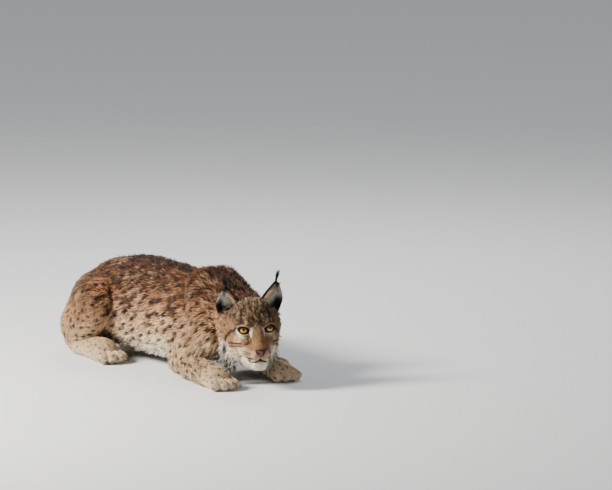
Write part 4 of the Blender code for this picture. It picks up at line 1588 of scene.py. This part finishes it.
SHORT_STEPS = ((0.0, 0.75), (0.45, 1.0))
MIDDLE_STEPS = ((0.0, 0.70), (0.35, 1.0), (0.70, 0.72))
LONG_STEPS = ((0.0, 0.70), (0.28, 1.0), (0.58, 0.85), (0.82, 0.50))
LENGTH_CLASSES = (
    (0.0, SHORT_STEPS, 0.0),
    (0.031, MIDDLE_STEPS, 0.08),
    (0.044, LONG_STEPS, 0.12),
)  # from this length, the rings' places and widths, and the droop
COLOUR_PLACES = (0.05, 0.50, 0.92)  # where along a tuft its three colours are taken from the coat

TONE_SPREAD = 0.20
CLUMP_TONE_SPREAD = 0.15
TONES = (0.60, 1.45)  # the darkest and the lightest
PAW_CALM = 0.45  # how much of that spread the paws and the head show
HEAD_CALM = 0.80
LIGHT_HAIRS = 0.12  # the share of tufts with a light tip
LIGHT_HAIR_TIP = 0.45
DARK_HAIRS = 0.10
DARK_HAIR_SHADE = 0.50
TIP_SHADE = 1.06
BODY_TIP_LIGHT = 0.18
TIP_LIGHT = 0.05
BLACK_HAIR = 0.04  # darker tips keep their colour
ROOT_PAINTED_SHADE = (0.64, 0.95, 0.85)  # painted shade deep in the coat, at the roots of the body's, the ears' and the other tufts


def tuft_colours(base, kinds, leader):
    """Colours at the root, the middle and the tip of each tuft, with painted shade at the root and a little
    in the middle.
    """
    count = len(leader)
    calm = np.where(kinds == PAW, PAW_CALM, np.where(kinds == HEAD, HEAD_CALM, 1.0))
    own = TONE_SPREAD * random.normal(size=count)
    shared = (CLUMP_TONE_SPREAD * random.normal(size=count))[leader]
    tone = np.clip(1.0 + calm * (own + shared), *TONES)[:, None]
    root, middle, tip = [colours * tone for colours in base]
    guard = random.random(count)[:, None]
    light = np.where(kinds == BODY, BODY_TIP_LIGHT, TIP_LIGHT)[:, None]
    light = np.where(guard > 1.0 - LIGHT_HAIRS, LIGHT_HAIR_TIP, np.where(guard < DARK_HAIRS, 0.0, light))
    shade = np.where((guard < DARK_HAIRS) & (kinds == BODY)[:, None], DARK_HAIR_SHADE, TIP_SHADE)
    bright = tip.mean(axis=1, keepdims=True)
    light = light * smooth_step(0.030, 0.080, bright) * (kinds != EAR)[:, None]
    tip = (tip + (PALE - tip) * light) * np.where(bright < BLACK_HAIR, 1.0, shade)
    # painted shade: the roots lie deep between the tufts, and the middles are a little darker too
    deep = np.select([kinds == BODY, kinds == EAR], ROOT_PAINTED_SHADE[:2], ROOT_PAINTED_SHADE[2])[:, None]
    return root * deep, middle * 0.95, np.clip(tip, 0.0, 0.95)


UNWRAP_FACES = 9000
UNWRAP_ANGLE = math.radians(66.0)
UNWRAP_MARGIN = 0.004


def unwrap(skin):
    """A coarse copy of the skin laid out flat, to find where each tuft's patch of the bake goes."""
    plain = link_object("unwrap", skin.data.copy())
    fewer = plain.modifiers.new("fewer", "DECIMATE")
    fewer.ratio = min(1.0, UNWRAP_FACES / len(plain.data.polygons))
    apply_modifiers(plain)
    bpy.context.view_layer.objects.active = plain
    plain.select_set(True)
    bpy.ops.object.mode_set(mode="EDIT")
    bpy.ops.mesh.select_all(action="SELECT")
    bpy.ops.uv.smart_project(angle_limit=UNWRAP_ANGLE, island_margin=UNWRAP_MARGIN)
    bpy.ops.object.mode_set(mode="OBJECT")
    tree = surface_of(plain)
    layer = plain.data.uv_layers.active
    flat = np.empty(len(plain.data.loops) * 2)
    layer.uv.foreach_get("vector", flat)
    corners = face_corners(plain)
    points = mesh_points(plain)
    remove(plain)
    return tree, flat.reshape(-1, 3, 2), points[corners]


def place_on_unwrap(places, plan):
    """The unwrap's coordinates under each place."""
    tree, flat, corners = plan
    nearest = [tree.find_nearest(place) for place in places]
    faces = np.array([found[2] for found in nearest])
    points = np.array([found[0] for found in nearest])
    a, b, c = corners[faces, 0], corners[faces, 1], corners[faces, 2]
    first, second, third = b - a, c - a, points - a
    aa, ab, bb = [(p * q).sum(axis=1) for p, q in ((first, first), (first, second), (second, second))]
    ap, bp = (third * first).sum(axis=1), (third * second).sum(axis=1)
    scale = np.maximum(aa * bb - ab * ab, 1e-18)
    v = (bb * ap - ab * bp) / scale
    w = (aa * bp - ab * ap) / scale
    weights = np.clip(np.stack((1.0 - v - w, v, w), axis=1), 0.0, 1.0)
    weights /= weights.sum(axis=1, keepdims=True)
    return (flat[faces] * weights[:, :, None]).sum(axis=1)


PATCH = 0.003
PATCH_CORNERS = np.array(((0.0, 0.0), (1.0, 0.0), (0.5, 1.0))) - 0.5
PATCH_RISE = 0.12  # how far up the patch each ring of a tuft lies above the one before


def coat_piece(name, tufts, plan, roots):
    """One piece of the coat as an object, with its colours and the layout for baking."""
    points, triangles, tones, stride = tufts
    made = triangle_mesh(name, points, triangles)
    set_colours(made, tones)
    corner = np.array([PATCH_CORNERS[i % 3] for i in range(stride)])
    corner[:, 1] += np.arange(stride) // 3 * PATCH_RISE
    centre = place_on_unwrap(roots, plan)
    spread = (centre[:, None, :] + PATCH * corner[None]).reshape(-1, 2)
    layer = made.data.uv_layers.new(name="OFBake")
    layer.uv.foreach_set("vector", spread[triangles.ravel()].astype(np.float32).ravel())
    return made


MOST_TRIANGLES = 195000
KIND_GROUPS = 20  # the first number of the pieces on head, ears, paws and tail
CORE_GROUPS = 40  # the first number of the pieces on trunk, withers and neck
LENGTHS_VARY = (0.72, 1.18)
LIFTS_VARY = (0.65, 1.35)
WIDTHS_VARY = (0.60, 1.25)
WAYS_SPREAD = 0.16
STRAY_SHARE = 0.10
STRAY_LIFT = 1.5


def vary(size):
    """Makes the tufts' lengths, lifts and widths unlike their neighbours'."""
    count = len(size)
    size[:, 0] *= random.uniform(*LENGTHS_VARY, count)
    lift = random.uniform(*LIFTS_VARY, count)
    size[:, 1] *= lift * np.where(random.random(count) < STRAY_SHARE, STRAY_LIFT, 1.0)
    size[:, 2] *= random.uniform(*WIDTHS_VARY, count)


def coat_groups(roots, own, shares):
    """A number for the part of the body under each tuft, with left and right apart."""
    right = roots[:, 1] < 0.0
    group = np.where(own == BODY, shares.argmax(axis=1), KIND_GROUPS + own * 2 + right)
    return np.where((own == BODY) & (group < CORE_ZONES), group * 2 + CORE_GROUPS + right, group)


def coat(skin, kinds, spots, marks, plan, cover):
    """The coat in pieces, split by the parts of the body that it grows on."""
    roots, out, own = grow_roots(skin, kinds, marks, cover)
    shares = zone_shares(roots)
    ways, size = lie(roots, out, own, shares)
    vary(size)
    shaky = unit(ways + WAYS_SPREAD * random.normal(size=ways.shape))
    ways, leader = clump_pull(roots, project(shaky, out), size[:, 0])
    ways = project(ways, out)
    surface = surface_of(skin)
    places = [lowered(surface, roots + share * size[:, :1] * ways) for share in COLOUR_PLACES]
    base = [coat_colour(place, out, own, spots, marks) for place in places]
    colours = tuft_colours(base, own, leader)
    group = coat_groups(roots, own, shares)
    length_class = np.searchsorted([row[0] for row in LENGTH_CLASSES], size[:, 0], side="right") - 1
    made = []
    for value in np.unique(group):
        for i, (_, steps, droop) in enumerate(LENGTH_CLASSES):
            members = np.flatnonzero((group == value) & (length_class == i))
            pieces = math.ceil(len(members) * len(blade_faces(len(steps))) / MOST_TRIANGLES)
            for number in range(pieces):
                part = members[number::pieces]
                picked = [tones[part] for tones in colours]
                tufts = tuft_mesh(roots[part], ways[part], out[part], size[part], picked, steps, droop)
                made.append(coat_piece("coat_%d_%d_%d" % (value, i, number), tufts, plan, roots[part]))
    return made


EAR_TUFT_HAIRS = 54
EAR_TUFT_LENGTH = 0.036
EAR_TUFT_VARIES = (0.55, 1.0)
EAR_TUFT_WIDTHS = (0.0015, 0.0023)
EAR_TUFT_LIFT = 0.06
EAR_TUFT_LEAN = 0.04
EAR_TUFT_SHAKE = 0.028
EAR_TUFT_TURN = 0.3
EAR_TUFT_TONES = (0.6, 0.9, 1.1)
EAR_ROOTS_DOWN = 0.012  # how far down the ear's tip the hairs grow, how deep and how far apart
EAR_ROOTS_SUNK = 0.0015
EAR_ROOTS_SPREAD = 0.0009


def ear_tufts(plan):
    """The black tufts at the tips of the ears."""
    made = []
    turn = np.array(HEAD_FRAME)[:3, :3]
    for name, side in SIDES.items():
        tip = np.array(ear_tip(side))
        _, up, face, across = [np.array(part) for part in ear_axes(side)]
        count = EAR_TUFT_HAIRS
        down = random.uniform(0.0, EAR_ROOTS_DOWN, count)[:, None]
        aside = random.normal(0.0, EAR_ROOTS_SPREAD, (count, 1))
        roots = tip - up * (EAR_ROOTS_SUNK + down) + across * aside
        ways = unit(up + EAR_TUFT_SHAKE * random.normal(size=(count, 3)) - EAR_TUFT_LEAN * face)
        length = EAR_TUFT_LENGTH * random.uniform(*EAR_TUFT_VARIES, count) + down[:, 0]
        width = random.uniform(*EAR_TUFT_WIDTHS, count)
        size = np.stack((length, np.full(count, EAR_TUFT_LIFT), width), axis=1)
        turned = EAR_TUFT_TURN * random.normal(size=(count, 3))
        out = project(np.tile(-face, (count, 1)) + turned, ways)
        roots = roots @ turn.T + np.array(HEAD_PLACE)
        tones = [np.tile(BLACK * k, (count, 1)) for k in EAR_TUFT_TONES]
        tufts = tuft_mesh(roots, ways @ turn.T, out @ turn.T, size, tones, LONG_STEPS)
        made.append(coat_piece("ear_tuft_" + name, tufts, plan, roots))
    return made


# Eyes, nose and whiskers

PUPIL_ANGLE = math.radians(14.0)
IRIS_ANGLE = math.radians(47.0)
CORNEA_RISE = 0.0007
CORNEA_ANGLE = 0.60
EYE_GAP = 0.0003
RAYS = 37.0
RAY_WAVER = 2.0
RAY_WAVES = 11.0
RAY_LIGHT = (0.80, 0.30)  # the iris between its rays, and what a ray adds
LID_SHADOW = (0.36, -0.16)  # heights on the eye between which the lid's shadow ends
SHADOW_LIGHT = (0.20, 0.92)  # the iris in the shadow, and what it gains below
IRIS_EDGE = 0.10
PUPIL_EDGE = 0.03
GAZE = {"left": (0.0, 8.0), "right": (0.0, 8.0)}  # degrees to the animal's left, and up

IRIS_INNER = colour(214, 164, 88)
IRIS_OUTER = colour(142, 92, 42)
IRIS_RING = colour(24, 14, 8)
PUPIL = (0.004, 0.003, 0.003)


def eye_colours(points, gaze, angle):
    """The black pupil, the amber iris with its rays and dark edge, shaded by the upper lid."""
    across = unit(np.cross(gaze, (0.0, 0.0, 1.0)))
    spin = np.arctan2(points @ np.cross(across, gaze), points @ across)
    ray = 0.5 + 0.5 * np.sin(spin * RAYS + RAY_WAVER * np.sin(spin * RAY_WAVES))
    amber = blend(IRIS_INNER, IRIS_OUTER, smooth_step(PUPIL_ANGLE, IRIS_ANGLE, angle))
    amber = amber * (RAY_LIGHT[0] + RAY_LIGHT[1] * ray[:, None])
    amber = amber * (SHADOW_LIGHT[0] + SHADOW_LIGHT[1] * smooth_step(*LID_SHADOW, points[:, 2:3]))
    amber = blend(amber, IRIS_RING, smooth_step(IRIS_ANGLE - IRIS_EDGE, IRIS_ANGLE, angle))
    pupil = 1.0 - smooth_step(PUPIL_ANGLE - PUPIL_EDGE, PUPIL_ANGLE + PUPIL_EDGE, angle)
    return opaque(blend(amber, PUPIL, pupil))


def eye(name, side):
    """An eye whose colours follow the angle from its gaze."""
    mesh = bmesh.new()
    bmesh.ops.create_icosphere(mesh, subdivisions=6, radius=1.0)
    made = solid_object("eye_" + name + "_looks", mesh)
    points = mesh_points(made)
    left, up = [math.radians(value) for value in GAZE[name]]
    gaze = np.array((math.cos(left) * math.cos(up), math.sin(left) * math.cos(up), math.sin(up)))
    angle = np.arccos(np.clip(points @ gaze, -1.0, 1.0))
    radius = EYE_RADIUS - EYE_GAP + CORNEA_RISE * np.exp(-((angle / CORNEA_ANGLE) ** 2))
    made.data.vertices.foreach_set("co", (points * radius[:, None]).ravel())
    set_colours(made, eye_colours(points, gaze, angle))
    shade_smooth(made)
    made.data.transform(HEAD_FRAME @ eye_frame(side))
    return made


NOSTRIL_RADII = (0.0050, 0.0027, 0.0021)
SLIT_RADII = (0.0040, 0.0036, 0.0009)
SLIT_OFFSET = (0.001, 0.0034, 0.0012)  # of the nostril's slit: back, out and down from the nostril

NOSE_PINK = colour(122, 66, 50)
NOSE_DUSKY = colour(66, 36, 32)
NOSE_EDGE_AND_SHADE = colour(30, 20, 18)
NOSE_MOTTLES = (0.40, 0.75)
NOSE_MOTTLE_GRAIN = 0.003
NOSE_EDGE_AND_SHADE_STRENGTH = 0.92

# Between which places the nose's edge darkens: at the sides, low, high and far back
NOSE_SIDE = (0.0068, 0.0098)
NOSE_LOW = (-0.0300, -0.0325)
NOSE_HIGH = (-0.0205, -0.0175)
NOSE_BACK = (0.0905, 0.0875)
# painted shade inside each nostril: how far from it the shade is whole, and where it has faded
NOSTRIL_SHADE = (0.0034, 0.0056)
NOSE_GROOVE = 0.0011  # half width and depth of the groove down its middle


def nose_colours(points):
    """Dusky pink leather with a dark edge, and painted shade inside the nostrils."""
    pink = np.tile(NOSE_PINK, (len(points), 1))
    pink = blend(pink, NOSE_DUSKY, smooth_step(*NOSE_MOTTLES, noise(points, NOSE_MOTTLE_GRAIN)))
    edges = [
        smooth_step(*NOSE_SIDE, np.abs(points[:, 1])),
        smooth_step(*NOSE_LOW, points[:, 2]),
        smooth_step(*NOSE_HIGH, points[:, 2]),
        smooth_step(*NOSE_BACK, points[:, 0]),
    ]
    # painted shade inside the nostrils, in the edge's dark colour
    for side in SIDES.values():
        hole = lengths(points - np.array(sided(NOSTRIL, side)))
        edges.append(1.0 - smooth_step(*NOSTRIL_SHADE, hole))
    return opaque(blend(pink, NOSE_EDGE_AND_SHADE, NOSE_EDGE_AND_SHADE_STRENGTH * np.max(edges, axis=0)))


def nose():
    mesh = bmesh.new()
    hull(mesh, NOSE)
    made = soften(solid_object("nose_looks", mesh), *NOSE_GRAIN)
    points = mesh_points(made)
    middle = np.exp(-((points[:, 1] / NOSE_GROOVE) ** 2)) * smooth_step(0.085, 0.090, points[:, 0])
    low = smooth_step(-0.0175, -0.024, points[:, 2])
    points[:, 0] -= NOSE_GROOVE * middle * low
    made.data.vertices.foreach_set("co", points.ravel())
    for side in SIDES.values():
        hole = ball_object("nostril", sided(NOSTRIL, side), NOSTRIL_RADII, (side * 0.5, 0.0, side * 0.5))
        combine(made, hole, "DIFFERENCE")
        back, out, down = SLIT_OFFSET
        place = (NOSTRIL.x - back, side * (NOSTRIL.y + out), NOSTRIL.z - down)
        combine(made, ball_object("slit", place, SLIT_RADII, (side * 0.35, 0.0, side * 0.2)), "DIFFERENCE")
    set_colours(made, nose_colours(mesh_points(made)))
    shade_smooth(made)
    made.data.transform(HEAD_FRAME)
    return made


WHISKER_RADIUS = 0.00016
WHISKER_GREY = colour(214, 206, 192)
WHISKER_WHITE = colour(240, 236, 226)

WHISKERS_GROWN = 3  # in each row of roots, the others have none
WHISKER_LENGTH = 0.062  # of the shortest, the others are up to three steps longer
WHISKER_LONGER = 0.012
WHISKER_SUNK = 0.001
BROW_WHISKERS = 3
BROW_WHISKER_LENGTH = 0.020
BROW_ROOT = (0.047, 0.024, 0.050)
BROW_SPACING = 0.004
WHISKER_STEPS = 8
WHISKER_SAG = (-0.14, -0.24)  # how far the tip hangs back and down, as shares of the length


def whisker_starts(surface):
    """Where each whisker starts, its direction and its length."""
    starts = []
    for side in SIDES.values():
        out = Vector((0.25, side, 0.0)).normalized()
        for i, root in enumerate(whisker_roots()):
            row, place = divmod(i, WHISKERS_IN_ROW)
            if place >= WHISKERS_GROWN:
                continue
            root = Vector((root[0], 0.0, root[2]))
            found = surface.ray_cast(root + 0.1 * out, -out)[0]
            way = Vector((-0.15 - 0.10 * place, side * 1.0, 0.10 - 0.12 * row))
            starts.append((found - WHISKER_SUNK * out, way, WHISKER_LENGTH + WHISKER_LONGER * ((i * 7) % 4)))
        for i in range(BROW_WHISKERS):
            way = Vector((0.15, side * (0.35 + 0.25 * i), 0.9))
            x, y, z = BROW_ROOT
            place = Vector((x, y * side + BROW_SPACING * side * i, z))
            starts.append((place, way, BROW_WHISKER_LENGTH))
    return starts


def whiskers(surface):
    """Long pale whiskers from the pads, and a few over the eyes."""
    pieces = bmesh.new()
    for start, way, length in whisker_starts(surface):
        way.normalize()
        back, down = WHISKER_SAG
        line = []
        for step in range(WHISKER_STEPS + 1):
            share = step / WHISKER_STEPS
            sag = Vector((back * share * share, 0.0, down * share * share))
            line.append(start + length * (way * share + sag))
        hair = tube(line, WHISKER_RADIUS, 3, 5)
        data = bpy.data.meshes.new("hair")
        hair.to_mesh(data)
        hair.free()
        pieces.from_mesh(data)
        bpy.data.meshes.remove(data)
    made = solid_object("whiskers", pieces)
    made.data.transform(HEAD_FRAME)
    shade_smooth(made)
    return made


# Materials


def set_inputs(node, values):
    for socket, value in values.items():
        node.inputs[socket].default_value = value


def new_material(name, gloss):
    """A material, its node tree and its shader with the given gloss."""
    material = bpy.data.materials.new(name)
    material.use_nodes = True
    shader = material.node_tree.nodes["Principled BSDF"]
    set_inputs(shader, gloss)
    return material, material.node_tree, shader


def add_node(tree, kind, values=None):
    node = tree.nodes.new("ShaderNode" + kind)
    set_inputs(node, values or {})
    return node


def coat_colours(tree):
    """The colours that the mesh carries."""
    node = add_node(tree, "Attribute")
    node.attribute_name = "coat"
    return node.outputs["Color"]


def add_texture(tree, kind, values):
    """A procedural texture in the object's own coordinates."""
    texture = add_node(tree, kind, values)
    place = add_node(tree, "TexCoord")
    tree.links.new(place.outputs["Object"], texture.inputs["Vector"])
    return texture


def add_relief(tree, shader, height, strength, distance):
    relief = add_node(tree, "Bump", {"Strength": strength, "Distance": distance})
    tree.links.new(height, relief.inputs["Height"])
    tree.links.new(relief.outputs["Normal"], shader.inputs["Normal"])


COAT_GLOSS = {"Roughness": 0.78, "Specular IOR Level": 0.14, "Sheen Weight": 0.04, "Sheen Roughness": 0.45}
EYE_GLOSS = {"Roughness": 0.30, "Specular IOR Level": 0.04, "Coat Weight": 0.14, "Coat Roughness": 0.03}
NOSE_GLOSS = {"Roughness": 0.52, "Specular IOR Level": 0.30}


def coat_material(name, fine, bump):
    """Hair: the colours of the coat with a fine procedural streak over them."""
    material, tree, shader = new_material(name, COAT_GLOSS)
    texture = add_texture(tree, "TexNoise", {"Scale": fine, "Detail": 3.0})
    shade = add_node(tree, "MapRange", {"To Min": 0.72, "To Max": 1.22})
    mix = add_node(tree, "VectorMath")
    mix.operation = "SCALE"
    tree.links.new(texture.outputs["Fac"], shade.inputs["Value"])
    tree.links.new(coat_colours(tree), mix.inputs[0])
    tree.links.new(shade.outputs["Result"], mix.inputs["Scale"])
    tree.links.new(mix.outputs["Vector"], shader.inputs["Base Color"])
    if bump:
        add_relief(tree, shader, texture.outputs["Fac"], bump, 0.001)
    return material


def eye_material():
    material, tree, shader = new_material("eye", EYE_GLOSS)
    tree.links.new(coat_colours(tree), shader.inputs["Base Color"])
    return material


def nose_material():
    """Leather with fine cells."""
    material, tree, shader = new_material("nose_leather", NOSE_GLOSS)
    cells = add_texture(tree, "TexVoronoi", {"Scale": 900.0})
    add_relief(tree, shader, cells.outputs["Distance"], 0.5, 0.0004)
    tree.links.new(coat_colours(tree), shader.inputs["Base Color"])
    return material


def mottled_material(name, scale, low, high, roughness):
    """A plain material that wanders a little between two colours."""
    material, tree, shader = new_material(name, {"Roughness": roughness})
    texture = add_node(tree, "TexNoise", {"Scale": scale})
    steps = add_node(tree, "ValToRGB")
    for element, shade in zip(steps.color_ramp.elements, (low, high)):
        element.color = (*shade, 1.0)
    tree.links.new(texture.outputs["Fac"], steps.inputs["Fac"])
    tree.links.new(steps.outputs["Color"], shader.inputs["Base Color"])
    return material


# Floor, light and camera

PICTURE_SCALE = 380.0  # pixels per metre
PICTURE = (612.0, 490.0)
PICTURE_ORIGIN = (170.0, 364.0)  # where the picture shows the origin of the balls' frame
CAMERA_TURN = math.radians(55.0)
CAMERA_RISE = math.radians(9.0)
LENS = 800.0
SENSOR = 36.0
TARGET_FORWARD = 0.2
WHITE = (1.0, 1.0, 1.0)

# The lights: how far they stand towards the camera, to its right and up, their size, power and tint
LIGHTS = {
    "key": ((1.0, -2.6, 1.9), 1.0, 340.0, (1.0, 0.95, 0.88)),
    "fill": ((2.4, 1.8, 1.4), 2.4, 5.0, WHITE),
    "rim": ((-2.0, 0.4, 2.2), 1.6, 40.0, WHITE),
}
SKY = {"Color": (0.93, 0.96, 1.0, 1.0), "Strength": 0.44}
FLOOR_GREYS = ((0.70, 0.71, 0.72), (0.74, 0.75, 0.76))
FLOOR_REACH = 40.0


def view_axes():
    level = math.cos(CAMERA_RISE)
    back = Vector((math.sin(CAMERA_TURN) * level, -math.cos(CAMERA_TURN) * level, math.sin(CAMERA_RISE)))
    right = Vector((math.cos(CAMERA_TURN), math.sin(CAMERA_TURN), 0.0))
    return back, right, back.cross(right)


def add_camera():
    back, right, up = view_axes()
    target = right * ((PICTURE[0] / 2.0 - PICTURE_ORIGIN[0]) / PICTURE_SCALE)
    target += up * ((PICTURE_ORIGIN[1] - PICTURE[1] / 2.0) / PICTURE_SCALE)
    target += TARGET_FORWARD * back - Vector(BOX_CENTRE)
    data = bpy.data.cameras.new("camera")
    data.lens = LENS
    data.sensor_width = SENSOR
    data.clip_end = 100.0
    camera = link_object("camera", data)
    camera.location = target + back * (PICTURE[0] / PICTURE_SCALE * LENS / SENSOR)
    camera.rotation_euler = (-back).to_track_quat("-Z", "Y").to_euler()
    bpy.context.scene.camera = camera


def area_light(name, place, size, power, tint):
    data = bpy.data.lights.new(name, "AREA")
    data.shape = "DISK"
    data.size = size
    data.energy = power
    data.color = tint
    light = link_object(name, data)
    light.location = place
    light.rotation_euler = (-Vector(place)).to_track_quat("-Z", "Y").to_euler()


def add_stage():
    mesh = bmesh.new()
    bmesh.ops.create_grid(mesh, x_segments=1, y_segments=1, size=FLOOR_REACH)
    floor = solid_object("floor", mesh)
    floor.data.materials.append(mottled_material("floor", 3.0, *FLOOR_GREYS, 0.85))
    back, right, _ = view_axes()
    level = Vector((back.x, back.y, 0.0)).normalized()
    up = Vector((0.0, 0.0, 1.0))
    for name, ((near, across, high), *look) in LIGHTS.items():
        area_light(name, near * level + across * right + high * up, *look)
    world = bpy.data.worlds.new("world")
    world.use_nodes = True
    set_inputs(world.node_tree.nodes["Background"], SKY)
    bpy.context.scene.world = world


# Putting it together

FLESH = ("head", "neck", "torso", "tail")
LIMBS = ("upper_arm", "forearm", "forepaw", "thigh", "shank", "hindpaw", "ear")
COVER = 2.85
SKIN_SHADE = 0.8  # painted shade: the skin between the tufts is darker than they are


def finish_piece(thing, material, nodes=()):
    thing.data.materials.clear()
    thing.data.materials.append(material)
    thing.data.transform(Matrix.Translation(-Vector(BOX_CENTRE)))
    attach(thing, "root")
    for node in nodes:
        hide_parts(node)


def main():
    add_camera()
    add_stage()
    skin, head = whole_skin()
    surface = surface_of(head)
    marks = face_marks(surface)
    kinds = face_kinds(skin)
    corner = corner_kinds(skin)
    points, normals = mesh_points(skin), mesh_normals(skin)
    shares = zone_shares(points)
    spots = lay_spots(points, normals, corner, shares)
    set_colours(skin, opaque(coat_colour(points, normals, corner, spots, marks) * SKIN_SHADE))
    plan = unwrap(skin)
    pieces = coat(skin, kinds, spots, marks, plan, COVER)
    pieces += ear_tufts(plan)
    hair = coat_material("coat", fine=900.0, bump=0.0)
    for piece in pieces:
        finish_piece(piece, hair)
    nodes = list(FLESH) + [limb + "_" + name for limb in LIMBS for name in SIDES]
    hairs = whiskers(surface)
    remove(head)
    finish_piece(skin, coat_material("skin", fine=700.0, bump=0.5), nodes)
    finish_piece(hairs, mottled_material("whisker", 60.0, WHISKER_GREY, WHISKER_WHITE, 0.45))
    finish_piece(nose(), nose_material(), ("nose",))
    gloss = eye_material()
    for name, side in SIDES.items():
        finish_piece(eye(name, side), gloss, ("eye_" + name,))


main()
